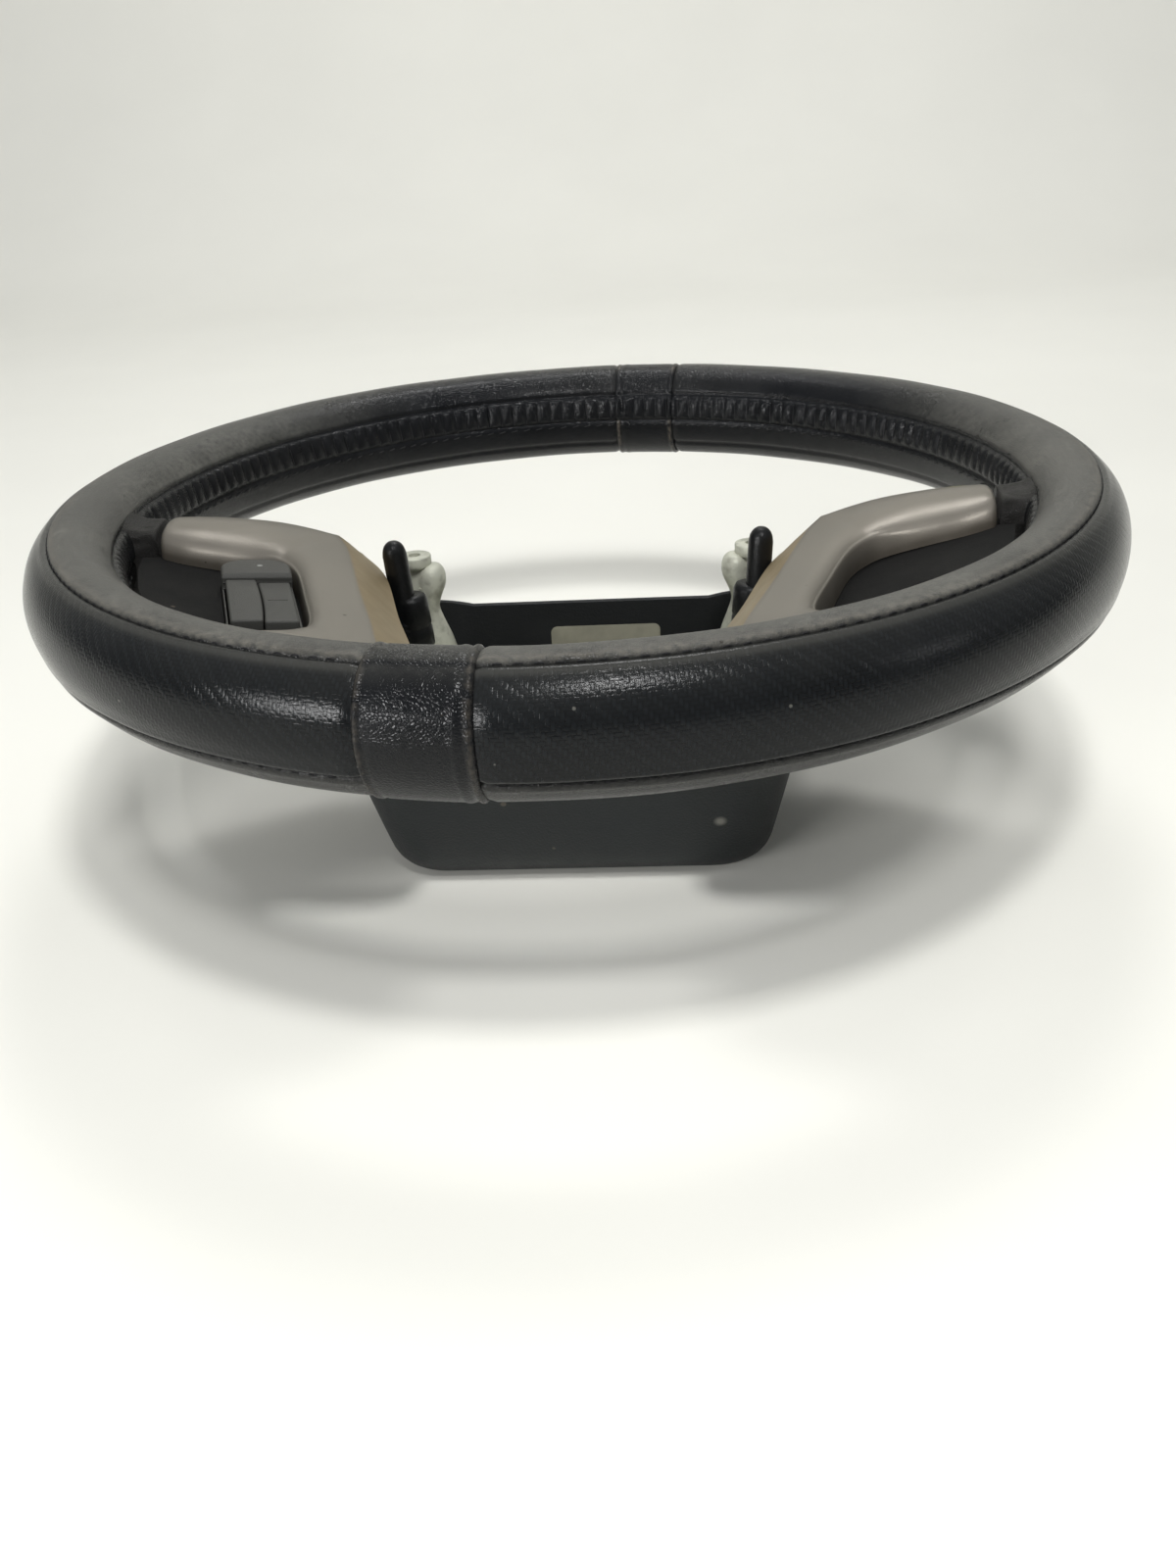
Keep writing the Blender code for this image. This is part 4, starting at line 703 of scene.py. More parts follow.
class Finish:
    """A material in the making, with its shader and its place on the surface."""

    def __init__(self, name, roughness, metallic=0.0, specular=0.5):
        self.material = bpy.data.materials.new(name)
        self.material.use_nodes = True
        self.tree = self.material.node_tree
        self.shader = self.tree.nodes["Principled BSDF"]
        self.shader.inputs["Roughness"].default_value = roughness
        self.shader.inputs["Metallic"].default_value = metallic
        self.shader.inputs["Specular IOR Level"].default_value = specular
        place = self.tree.nodes.new("ShaderNodeTexCoord")
        self.place = place.outputs["Object"]
        self.uv = place.outputs["UV"]

    def effect(self, name, **values):
        """An effect's first output. Names of its inputs have _ for a space."""
        made = self.tree.nodes.new("ShaderNodeGroup")
        made.node_tree = bpy.data.node_groups[name]
        put(self.tree, made.inputs["Vector"], values.pop("vector", self.place))
        for key, value in values.items():
            put(self.tree, made.inputs[key.replace("_", " ")], value)
        return made.outputs[0]

    def attribute(self, name):
        return add(self.tree, "ShaderNodeAttribute", attribute_name=name).outputs["Fac"]

    def spot(self, place, radius):
        """A round mark about a place, fading towards its edge."""
        away = add(self.tree, "ShaderNodeVectorMath", operation="DISTANCE")
        put(self.tree, away.inputs[0], self.place)
        put(self.tree, away.inputs[1], place)
        return self.spread(away.outputs["Value"], 0.3 * radius, radius, 1.0, 0.0)

    def maths(self, operation, first, second=0.0, third=0.0):
        return maths(self.tree, operation, first, second, third)

    def mixed(self, share, first, second):
        return mixed(self.tree, share, first, second)

    def spread(self, value, low, high, to_low=0.0, to_high=1.0):
        return spread(self.tree, value, low, high, to_low, to_high)

    def bump(self, height, distance, strength=1.0):
        made = add(
            self.tree, "ShaderNodeBump", {"Height": height, "Distance": distance, "Strength": strength}
        )
        put(self.tree, self.shader.inputs["Normal"], made.outputs[0])

    def colour(self, value):
        put(self.tree, self.shader.inputs["Base Color"], value)

    def roughness(self, value):
        put(self.tree, self.shader.inputs["Roughness"], value)


def paint(value, strength=1.0):
    """A property's sRGB colour as a linear one, made lighter or darker."""
    parts = [part / 12.92 if part <= 0.04045 else ((part + 0.055) / 1.055) ** 2.4 for part in value]
    return (*[part * strength for part in parts], 1.0)


def embossed_leather(colours):
    finish = Finish("embossed leather", 0.3, specular=0.2)
    twill = finish.effect("Embossed twill", vector=finish.uv, Pitch=1.15 * MM)
    pebbles = finish.effect("Leather pebbles", Size=0.6 * MM)
    patches = finish.effect("Cloudy patches", Size=30 * MM, Detail=4.0)
    dust = finish.effect("Settled dust", Amount=0.13, Patch_Size=14 * MM)
    specks = finish.effect("Dirt specks", Spacing=4 * MM, Share=0.04)
    rubbed = finish.mixed(patches, paint(colours.embossed, 0.4), paint(colours.embossed, 0.8))
    raised = finish.mixed(finish.maths("MULTIPLY", twill, 0.7), rubbed, paint(colours.embossed, 1.9))
    dusted = finish.mixed(dust, raised, paint(colours.dusty, 0.7))
    edged = finish.mixed(finish.attribute("frayed"), dusted, paint(colours.dusty, 0.9))
    finish.colour(finish.mixed(finish.maths("MULTIPLY", specks, 0.6), edged, paint(colours.dusty)))
    dull = finish.spread(dust, 0.05, 0.4, 0.13, 0.5)
    finish.roughness(finish.maths("MULTIPLY_ADD", patches, 0.05, dull))
    finish.bump(finish.maths("MULTIPLY_ADD", pebbles, 0.25, twill), 0.042 * MM)
    return finish.material


def smooth_leather(colours):
    """Front and back strips and joint bands, with their dust and their frayed edges."""
    finish = Finish("smooth leather", 0.5, specular=0.21)
    pebbles = finish.effect("Leather pebbles", Size=0.9 * MM)
    patches = finish.effect("Cloudy patches", Size=22 * MM, Detail=6.0)
    fine = finish.effect("Cloudy patches", Size=2.2 * MM, Detail=5.0)
    specks = finish.effect("Dirt specks", Spacing=3.4 * MM, Share=0.3)
    amount = finish.attribute("dust")
    uneven = finish.maths("MULTIPLY", amount, finish.spread(patches, 0, 1, 0.5, 1.0))
    uneven = finish.maths("MULTIPLY", uneven, finish.spread(fine, 0, 1, 0.52, 1.0))
    base = finish.mixed(patches, paint(colours.clean, 0.8), paint(colours.clean, 1.2))
    dusted = finish.mixed(uneven, base, paint(colours.dusty))
    frays = finish.maths("MULTIPLY", finish.attribute("frayed"), finish.spread(fine, 0.15, 0.75))
    frayed = finish.mixed(frays, dusted, paint(colours.frayed))
    finish.colour(finish.mixed(finish.maths("MULTIPLY", specks, 0.7), frayed, paint(colours.dirt, 0.6)))
    dull = finish.spread(patches, 0, 1, 0.15, 0.25)
    finish.roughness(finish.maths("MULTIPLY_ADD", uneven, 0.45, dull))
    finish.bump(pebbles, 0.055 * MM)
    return finish.material


def thread_finish(colours):
    finish = Finish("waxed thread", 0.55, specular=0.3)
    strands = finish.effect("Cloudy patches", Size=0.5 * MM, Detail=2.0)
    finish.colour(finish.mixed(strands, paint(colours.thread, 0.7), paint(colours.thread, 1.3)))
    finish.bump(strands, 0.08 * MM)
    return finish.material


def silver_paint(colours):
    finish = Finish("silver paint", 0.4, metallic=0.5)
    patches = finish.effect("Cloudy patches", Size=28 * MM, Detail=5.0)
    fine = finish.effect("Cloudy patches", Size=0.5 * MM, Detail=1.0)
    specks = finish.effect("Dirt specks", Spacing=7 * MM, Share=0.2)
    stains = finish.effect("Cloudy patches", Size=7 * MM, Detail=8.0)
    bevel = finish.attribute("bevel")
    chip = finish.attribute("chip")
    base = finish.mixed(patches, paint(colours.silver, 0.9), paint(colours.silver, 1.06))
    yellow = finish.mixed(finish.spread(stains, 0.2, 0.9), paint(colours.tan), paint(colours.tan, 0.9))
    coated = finish.mixed(bevel, base, yellow)
    # Grime and painted shade: the paint is drawn darker down the window walls, darker the deeper the
    # recess.
    grime_and_painted_shade = finish.maths("MULTIPLY", finish.attribute("grime_and_painted_shade"), finish.spread(stains, 0, 1, 0.75, 1.0))
    grimed_and_shaded = finish.mixed(finish.maths("MULTIPLY", grime_and_painted_shade, 0.75), coated, paint(colours.dirt, 1.4))
    dotted = finish.mixed(finish.maths("MULTIPLY", specks, 0.85), grimed_and_shaded, paint(colours.dirt))
    finish.colour(finish.mixed(chip, dotted, CHIP_YELLOW))
    dull = finish.spread(patches, 0, 1, 0.34, 0.42)
    finish.roughness(finish.maths("MULTIPLY_ADD", bevel, 0.12, dull))
    finish.bump(fine, 0.02 * MM)
    return finish.material


def moulded_plastic(colours, name, base, roughness, grain, dust_amount, specular=0.5, smudge=None):
    """A grained plastic. Smudge is the place of one pale mark."""
    finish = Finish(name, roughness, specular=specular)
    bumps = finish.effect("Moulded grain", Size=grain)
    patches = finish.effect("Cloudy patches", Size=30 * MM, Detail=5.0)
    dust = finish.effect("Settled dust", Amount=dust_amount, Patch_Size=9 * MM)
    specks = finish.effect("Dirt specks", Spacing=8 * MM, Share=0.14)
    shade = finish.mixed(patches, paint(base, 0.85), paint(base, 1.12))
    dusted = finish.mixed(dust, shade, paint(colours.dusty))
    marked = finish.mixed(finish.maths("MULTIPLY", specks, 0.45), dusted, paint(colours.frayed))
    # Painted shade: where this attribute is set, on the inside of the rear cover, the plastic is drawn
    # darker.
    marked = finish.mixed(finish.attribute("painted_inner_shade"), marked, paint(base, 0.35))
    if smudge is not None:
        marked = finish.mixed(finish.spot(smudge, 2.6 * MM), marked, paint(colours.dusty, 1.1))
    finish.colour(marked)
    finish.roughness(finish.spread(patches, 0, 1, roughness - 0.06, roughness + 0.08))
    finish.bump(bumps, 0.1 * MM)
    return finish.material


def collar_finish(colours):
    finish = Finish("gathered collar", 0.5, specular=0.25)
    pebbles = finish.effect("Leather pebbles", Size=0.8 * MM)
    patches = finish.effect("Cloudy patches", Size=9 * MM, Detail=6.0)
    dust = finish.effect("Settled dust", Amount=0.18, Patch_Size=6 * MM)
    shade = finish.mixed(patches, paint(colours.collar, 0.55), paint(colours.collar, 1.3))
    finish.colour(finish.mixed(dust, shade, paint(colours.dusty, 0.8)))
    finish.roughness(finish.spread(patches, 0, 1, 0.38, 0.6))
    finish.bump(pebbles, 0.2 * MM)
    return finish.material


def cast_metal(colours):
    finish = Finish("passivated casting", 0.5, metallic=0.25)
    skin = finish.effect("Moulded grain", Size=1.1 * MM)
    patches = finish.effect("Cloudy patches", Size=12 * MM, Detail=7.0)
    stains = finish.effect("Cloudy patches", Size=4 * MM, Detail=8.0)
    shade = finish.mixed(patches, paint(colours.casting, 0.8), paint(colours.casting, 1.05))
    stained = finish.maths("MULTIPLY", finish.spread(stains, 0.55, 1.0), 0.35)
    finish.colour(finish.mixed(stained, shade, paint(colours.dirt, 2.0)))
    finish.roughness(finish.spread(patches, 0, 1, 0.42, 0.62))
    finish.bump(skin, 0.12 * MM)
    return finish.material


def turned_steel(colours, name, strength):
    finish = Finish(name, 0.35, metallic=1.0)
    patches = finish.effect("Cloudy patches", Size=6 * MM, Detail=7.0)
    rust = finish.effect("Cloudy patches", Size=2.5 * MM, Detail=8.0)
    shade = finish.mixed(patches, paint(colours.steel, strength), paint(colours.steel, 1.3 * strength))
    rusted = finish.maths("MULTIPLY", finish.spread(rust, 0.6, 1.0), 0.4)
    finish.colour(finish.mixed(rusted, shade, paint(colours.dirt, 1.5)))
    finish.roughness(finish.spread(patches, 0, 1, 0.28, 0.5))
    finish.bump(patches, 0.03 * MM)
    return finish.material


def mottled(name, low, high, roughness, size, bump):
    """A plain finish with patches between two colours."""
    finish = Finish(name, roughness)
    patches = finish.effect("Cloudy patches", Size=size, Detail=6.0)
    finish.colour(finish.mixed(patches, low, high))
    finish.bump(patches, bump)
    return finish.material


FINISHES = {}

# Slot, name, darker and lighter linear colour, roughness, size of the patches and bump in millimetres
MOTTLED_FINISHES = (
    ("foam", "grip foam", (0.01, 0.01, 0.01), (0.02, 0.02, 0.02), 0.9, 2, 0.3),
    ("silicone", "grey silicone", (0.45, 0.45, 0.43), (0.55, 0.55, 0.52), 0.7, 5, 0.02),
    ("board", "circuit board", (0.015, 0.07, 0.03), (0.03, 0.1, 0.05), 0.5, 3, 0.02),
    ("lens_plastic", "frosted lens", (0.2, 0.2, 0.19), (0.26, 0.26, 0.25), 0.4, 1, 0.01),
)


def build_finishes(colours):
    build_effects()
    FINISHES.update(
        embossed_leather=embossed_leather(colours),
        smooth_leather=smooth_leather(colours),
        thread=thread_finish(colours),
        silver_paint=silver_paint(colours),
        dark_plastic=moulded_plastic(colours, "panel plastic", colours.panel, 0.7, 0.5 * MM, 0.03, 0.1),
        rear_plastic=moulded_plastic(
            colours, "rear plastic", colours.rear, 0.5, 0.9 * MM, 0.1, 0.3, SMUDGE
        ),
        key_plastic=moulded_plastic(colours, "key plastic", colours.keys, 0.5, 0.35 * MM, 0.08, 0.35),
        pin_plastic=moulded_plastic(colours, "pin plastic", colours.pin, 0.32, 0.6 * MM, 0.03, 0.3),
        collar_rubber=collar_finish(colours),
        cast_metal=cast_metal(colours),
        machined_steel=turned_steel(colours, "turned steel", 1.0),
        core_steel=turned_steel(colours, "core steel", 0.8),
        screw_steel=turned_steel(colours, "plated screws", 0.7),
    )
    for slot, name, low, high, roughness, size, bump in MOTTLED_FINISHES:
        FINISHES[slot] = mottled(name, (*low, 1), (*high, 1), roughness, size * MM, bump * MM)
    faint = paint(colours.label, 0.82)
    full = paint(colours.label, 1.04)
    FINISHES["label_paper"] = mottled("label paper", faint, full, 0.75, 6 * MM, 0.02 * MM)


# The grip


def rim_radius(grip):
    """Radius of the middle of the grip's section."""
    return GRIP_OUTER - grip.half_width


def grip_surface(grip, phi, theta, lift):
    """Points on the grip, raised by a lift, at angles round the rim and round its section."""
    out_slope = np.cos(theta) / grip.half_width
    up_slope = np.sin(theta) / HALF_DEPTH
    size = np.hypot(out_slope, up_slope)
    radius = rim_radius(grip) + grip.half_width * np.cos(theta) + lift * out_slope / size
    height = RIM_HEIGHT + HALF_DEPTH * np.sin(theta) + lift * up_slope / size
    return np.stack((radius * np.cos(phi), radius * np.sin(phi), height), axis=-1)


def strip_spans(grip):
    """Where the strips of each side start and end round the rim, between the joint bands."""
    joint = grip.joint_angle
    half = grip.joint_width / 2 / rim_radius(grip)
    return {
        "right": (joint + half, joint + math.pi - half),
        "left": (joint + math.pi + half, joint + math.tau - half),
    }


def section_arc(grip, theta):
    """Length along the section from its -180 degrees to an angle."""
    slope = np.hypot(grip.half_width * np.sin(SECTION_TABLE), HALF_DEPTH * np.cos(SECTION_TABLE))
    run = np.concatenate(((0.0,), np.cumsum((slope[1:] + slope[:-1]) / 2 * np.diff(SECTION_TABLE))))
    return np.interp(theta, SECTION_TABLE, run)


def settled(phi, theta):
    """How dusty the grip's front is: all over, but rubbed clean along the inside of its far part."""
    turn = np.degrees(phi)
    far = soft_step(turn, -5.0, 50.0) * (1.0 - soft_step(turn, 112.0, 172.0))
    rubbed = soft_step(theta, math.radians(88.0), math.radians(116.0))
    ripple = 0.06 * np.sin(5 * phi + 0.6)
    return np.clip(0.98 + ripple - far * (0.54 + 0.4 * rubbed), 0.0, 1.0)


def worn_waves(phi, theta):
    """Slow unevenness of leather pulled over foam."""
    first = np.sin(7 * phi + 1.3) * np.sin(3 * theta + 0.7)
    second = np.sin(23 * phi - 2 * theta)
    return (0.12 * first + 0.05 * second) * MM


def gather_count(grip):
    """How many gathers would fit round the whole rim."""
    return round(math.tau * (rim_radius(grip) - grip.half_width) / grip.gather_pitch)


def gather_drift(phi):
    """How far the gathers stray from even spacing, as a phase."""
    return 0.5 * np.sin(9 * phi)


def gathers(grip, phi, theta):
    """Gathers that the lacing pulls beside its seam."""
    pull = 1.0 + 0.35 * np.sin(11 * phi) * np.sin(3.7 * phi + 1.0)
    wave = np.abs(np.cos(phi * gather_count(grip) / 2 + gather_drift(phi))) ** 0.6
    hem = grip.front_hem
    seam = grip.laced_seam
    middle = hem + 0.5 * (seam - hem)
    zone = np.sqrt(np.clip(1 - ((theta - middle) / (0.42 * (seam - hem))) ** 2, 0.0, 1.0))
    return grip.gather_height * zone * (pull * wave - 0.4)


def valleys(grip, start, end):
    """Angles round the rim of the folds between the gathers."""
    half = gather_count(grip) / 2
    first = math.ceil(start * half / math.pi)
    last = math.floor(end * half / math.pi)
    phis = (np.arange(first, last) + 0.5) * math.pi / half
    for _ in range(4):
        phis = ((np.arange(first, last) + 0.5) * math.pi - gather_drift(phis)) / half
    return phis


def seam_roll(distance):
    """The rolled edge beside a seam: a low ridge that falls into the seam."""
    return 0.3 * MM * hump(distance, 1.7 * MM, 1.2 * MM) - 0.95 * MM * hump(distance, 0.0, 0.75 * MM)


def leather_piece(grip, name, thetas, phis, lift, slot, node, worn=None, dusting=1.0):
    """A strip of leather over part of the section and part of the rim, with its marks."""
    around, along = np.meshgrid(thetas, phis)
    top = grip_surface(grip, along, around, lift(along, around))
    under = grip_surface(grip, along, around, np.full(along.shape, -LEATHER))
    made = plain_mesh(name, *sheet_solid(top, under))
    uv = np.stack((along * rim_radius(grip), section_arc(grip, around)), axis=-1).reshape(-1, 2)
    write_uv(made.data, np.concatenate((uv, uv)))
    driver_side = soft_step(around, grip.front_seam - 0.5, grip.front_seam + 0.12)
    inside = 1.0 - 0.94 * soft_step(around, grip.front_hem - 0.16, grip.front_hem)
    below = 0.1 * (1 - np.sin(along)) * soft_step(around, math.pi + 0.9, math.pi + 1.3)
    line = 1.0 - 0.9 * hump(section_arc(grip, around), section_arc(grip, grip.front_seam), 0.9 * MM)
    dust = np.maximum(dusting * settled(along, around) * driver_side * inside * line, below)
    write_values(made.data, "dust", np.tile(dust.ravel(), 2))
    marks = np.zeros(along.shape) if worn is None else worn(along, around)
    write_values(made.data, "frayed", np.tile(marks.ravel(), 2))
    return dressed(made, slot, [node], crease=55.0)


def make_strips(grip, side, start, end):
    """The outer, front and back strips of one side, from joint band to joint band."""
    radius = rim_radius(grip)
    fine = np.linspace(start, end, round((end - start) * radius / (0.85 * MM)))
    coarse = np.linspace(start, end, round((end - start) * radius / (2.2 * MM)))

    def end_dip(phi):
        distance = np.minimum(phi - start, end - phi) * radius
        return -0.7 * MM * hump(distance, 0.0, 1.0 * MM)

    def outer_lift(phi, theta):
        arc = section_arc(grip, theta)
        front = section_arc(grip, grip.front_seam) - arc
        back = arc - section_arc(grip, grip.back_seam)
        return worn_waves(phi, theta) + seam_roll(front) * 0.7 + seam_roll(back) * 0.7 + end_dip(phi)

    def front_lift(phi, theta):
        arc = section_arc(grip, theta)
        seam = arc - section_arc(grip, grip.front_seam)
        hem = arc - section_arc(grip, grip.front_hem)
        laced = section_arc(grip, grip.laced_seam) - arc
        lift = worn_waves(phi, theta) + seam_roll(seam)
        lift += gathers(grip, phi, theta) + end_dip(phi)
        return lift - 0.9 * MM * hump(hem, 0.0, 0.9 * MM) - 0.8 * MM * hump(laced, 0.0, 0.9 * MM)

    def back_lift(phi, theta):
        arc = section_arc(grip, theta)
        seam = section_arc(grip, grip.back_seam + math.tau) - arc
        hem = arc - section_arc(grip, grip.back_hem)
        laced = arc - section_arc(grip, grip.laced_seam)
        lift = worn_waves(phi, theta) + seam_roll(seam) + end_dip(phi)
        return lift - 0.8 * MM * hump(hem, 0.0, 0.9 * MM) - 0.8 * MM * hump(laced, 0.0, 0.9 * MM)

    def seam_wear(phi, theta):
        distance = np.abs(section_arc(grip, theta) - section_arc(grip, grip.front_seam))
        return 0.22 * hump(distance, 2.2 * MM, 1.3 * MM)

    outer = np.linspace(grip.back_seam, grip.front_seam, 46)
    front = np.linspace(grip.front_seam, grip.laced_seam, 58)
    back = np.linspace(grip.laced_seam, grip.back_seam + math.tau, 52)
    strips = (
        ("outer", outer, coarse, outer_lift, "embossed_leather", seam_wear),
        ("front", front, fine, front_lift, "smooth_leather", seam_wear),
        ("back", back, coarse, back_lift, "smooth_leather", None),
    )
    for place, thetas, phis, lift, slot, worn in strips:
        node = f"cover_{place}_{side}"
        leather_piece(grip, f"grip_{place}_{side}", thetas, phis, lift, slot, node, worn)


def make_joint_band(grip, place, middle, rise, wear):
    """A smooth band across the grip, with a sewn ridge along each edge."""
    radius = rim_radius(grip)
    half = grip.joint_width / 2

    def lift(phi, theta):
        offset = (phi - middle) * radius
        edge = half - np.abs(offset)
        arc = section_arc(grip, theta)
        hem = arc - section_arc(grip, grip.front_hem)
        ends = np.minimum(arc - arc.min(), arc.max() - arc)
        wander = 0.12 * MM * np.sin(5 * theta + 2 * np.sign(offset))
        ridge = rise * hump(edge + wander, 1.1 * MM, 0.6 * MM)
        sewn = -0.8 * rise * hump(edge + wander, 2.6 * MM, 0.6 * MM)
        fold = np.where(offset > 0, 0.9 * rise * hump(edge, 4.6 * MM, 0.9 * MM), 0.0)
        drop = -2.4 * rise * hump(edge, 0.0, 0.5 * MM) - 0.8 * MM * hump(ends, 0.0, 0.9 * MM)
        creased = -0.7 * MM * hump(hem, 0.0, 0.9 * MM)
        return 0.25 * MM + ridge + sewn + fold + drop + creased + gathers(grip, phi, theta)

    def worn(phi, theta):
        edge = half - np.abs(phi - middle) * radius
        outside = 1.0 - soft_step(theta, grip.front_hem - 0.8, grip.front_hem - 0.5)
        return np.clip(wear * outside * hump(edge, 1.1 * MM, 0.8 * MM), 0.0, 1.0)

    thetas = np.linspace(grip.laced_seam - math.tau, grip.laced_seam, 150)
    phis = np.linspace(middle - half / radius, middle + half / radius, 62)
    name = f"joint_band_{place}"
    node = f"cover_joint_{place}"
    leather_piece(grip, name, thetas, phis, lift, "smooth_leather", node, worn, dusting=0.32)


def make_foam(grip):
    """The foam under the leather."""
    phis = np.linspace(0.0, math.tau, 180, endpoint=False)
    thetas = np.linspace(0.0, math.tau, 40, endpoint=False)
    around, along = np.meshgrid(thetas, phis)
    points = grip_surface(grip, along, around, np.full(along.shape, -FOAM_DEPTH))
    faces = grid_faces(len(phis), len(thetas), True, True).tolist()
    foam = plain_mesh("grip_foam", points.reshape(-1, 3), faces)
    dressed(foam, "foam", ["rim_foam"])


def make_grip(grip):
    for side, (start, end) in strip_spans(grip).items():
        make_strips(grip, side, start, end)
    make_joint_band(grip, "near", grip.joint_angle, 0.3 * MM, 0.2)
    make_joint_band(grip, "far", grip.joint_angle + math.pi, 0.16 * MM, 0.45)
    make_foam(grip)


# Stitches and lacing


def stitch(grip, phi, theta, half_length, slant=0.0, lift=0.0):
    """One stitch along the rim, whose ends go down into the leather."""
    spots = np.linspace(-1.0, 1.0, 7)
    lifts = np.array((-1.1, -0.6, -0.42, -0.38, -0.42, -0.6, -1.1)) * MM
    along = phi + spots * half_length / rim_radius(grip)
    around = theta + spots * slant
    radii = grip.thread_radius * np.array((0.6, 0.95, 1.0, 1.0, 1.0, 0.95, 0.6))
    return tube_solid(grip_surface(grip, along, around, lifts + lift), radii)


def seam_stitches(grip, start, end, around):
    """Stitches along part of the rim, at one angle round its section."""
    pitch = grip.stitch_pitch / rim_radius(grip)
    count = int((end - start) / pitch) - 1
    spots = [start + (index + 1) * pitch for index in range(count)]
    return [stitch(grip, phi, around, 0.3 * grip.stitch_pitch) for phi in spots]


def angle_at(grip, run):
    """The angle round the section at a length along it."""
    return float(np.interp(run, section_arc(grip, SECTION_TABLE), SECTION_TABLE))


def lacing_thread(grip, start, end):
    """The lacing: a strand in each fold between the gathers, and a row of stitches under them."""
    high = grip.front_hem + 0.12
    low = grip.laced_seam - 0.04
    lean = 0.12 * grip.gather_pitch / (rim_radius(grip) - grip.half_width)
    share = np.linspace(0.0, 1.0, 9)
    around = low + (high - low) * share
    parts = []
    for phi in valleys(grip, start, end):
        along = phi + lean * (share - 0.5)
        lifts = gathers(grip, np.full(9, phi), around) + 0.15 * MM
        lifts[0] -= 0.8 * MM
        lifts[-1] -= 0.8 * MM
        parts.append(tube_solid(grip_surface(grip, along, around, lifts), grip.thread_radius))
        under = grip.laced_seam + 0.1
        parts.append(stitch(grip, phi, under, 0.36 * grip.gather_pitch, 0.02, 0.5 * MM))
    return gathered(parts)


def lacing_arcs(grip):
    """The four stretches of lacing that the spokes leave, as degrees round the rim."""
    inner = (rim_radius(grip) - grip.half_width) / MM
    upper = math.degrees((UPPER_COLLAR["width"] / 2 + LACING_END_GAP) / inner)
    lower = math.degrees((LOWER_COLLAR["width"] / 2 + LACING_END_GAP) / inner)
    top = UPPER_COLLAR["angle"] + upper
    side_top = UPPER_COLLAR["angle"] - upper
    side_foot = LOWER_COLLAR["angle"] + lower
    foot = LOWER_COLLAR["angle"] - lower
    return {
        "upper": (top, 180.0 - top),
        "right": (side_foot, side_top),
        "left": (180.0 - side_top, 180.0 - side_foot),
        "lower": (-180.0 - foot, foot),
    }


def make_lacing(grip):
    """The lacing in its four stretches, and the stitches of both seams on each side."""
    for stretch, (start, end) in lacing_arcs(grip).items():
        points, faces = lacing_thread(grip, math.radians(start), math.radians(end))
        laced = plain_mesh(f"laced_thread_{stretch}", points, faces)
        dressed(laced, "thread", [f"lacing_{stretch}"])
    front = angle_at(grip, section_arc(grip, grip.front_seam) + STITCH_LINE)
    back = angle_at(grip, section_arc(grip, grip.back_seam + math.tau) - STITCH_LINE)
    for side, (start, end) in strip_spans(grip).items():
        for seam, around in (("front", front), ("back", back)):
            points, faces = gathered(seam_stitches(grip, start, end, around))
            row = plain_mesh(f"{seam}_stitches_{side}", points, faces)
            dressed(row, "thread")


# The spokes


def face_height(x, y):
    """Height of the bezel's face plane."""
    rise = FACE_RISE * (abs(x) - FACE_CORNER[0]) - FACE_FALL * (y - FACE_CORNER[1])
    return RIM_HEIGHT - FACE_DROP + rise


def bezel_paths(steps):
    """The window's edge, the face's edge and the bevel's foot as dense paths."""
    window = smooth_path([row[0] for row in BEZEL_ROWS], steps)
    edge = smooth_path([row[1] for row in BEZEL_ROWS], steps, (CORNER_ROW,))
    foot = smooth_path([row[2] for row in BEZEL_ROWS], steps, (CORNER_ROW,))
    return window * MM, edge * MM, foot * MM


def arm_arch(x, y):
    """How far the upper arm rises above the face plane: it arches, and droops at its rim end."""
    on_arm = soft_step(y, -60.0 * MM, -40.0 * MM) * (x > 93.0 * MM)
    return 0.9 * MM * (1.0 - ((x - 112.0 * MM) / (19.0 * MM)) ** 2) * on_arm


# Share of the way from the window to the face's edge, and the drop on the body and on the round arm
CROWN_ROWS = (
    (0.0, 4.4, 7.6),
    (0.05, 3.1, 5.8),
    (0.12, 1.8, 4.1),
    (0.22, 0.8, 2.5),
    (0.35, 0.25, 1.2),
    (0.5, 0.05, 0.4),
    (0.65, 0.0, 0.0),
    (0.8, 0.0, 0.1),
    (0.93, 0.0, 0.55),
)

# Share of the way from the face's edge to the bevel's foot, and the drop in sixteenths of the depth
BEVEL_ROWS = ((-0.02, 0.0), (0.06, 0.7), (0.45, 5.6), (0.88, 11.5), (0.99, 12.6), (1.0, 16.0))


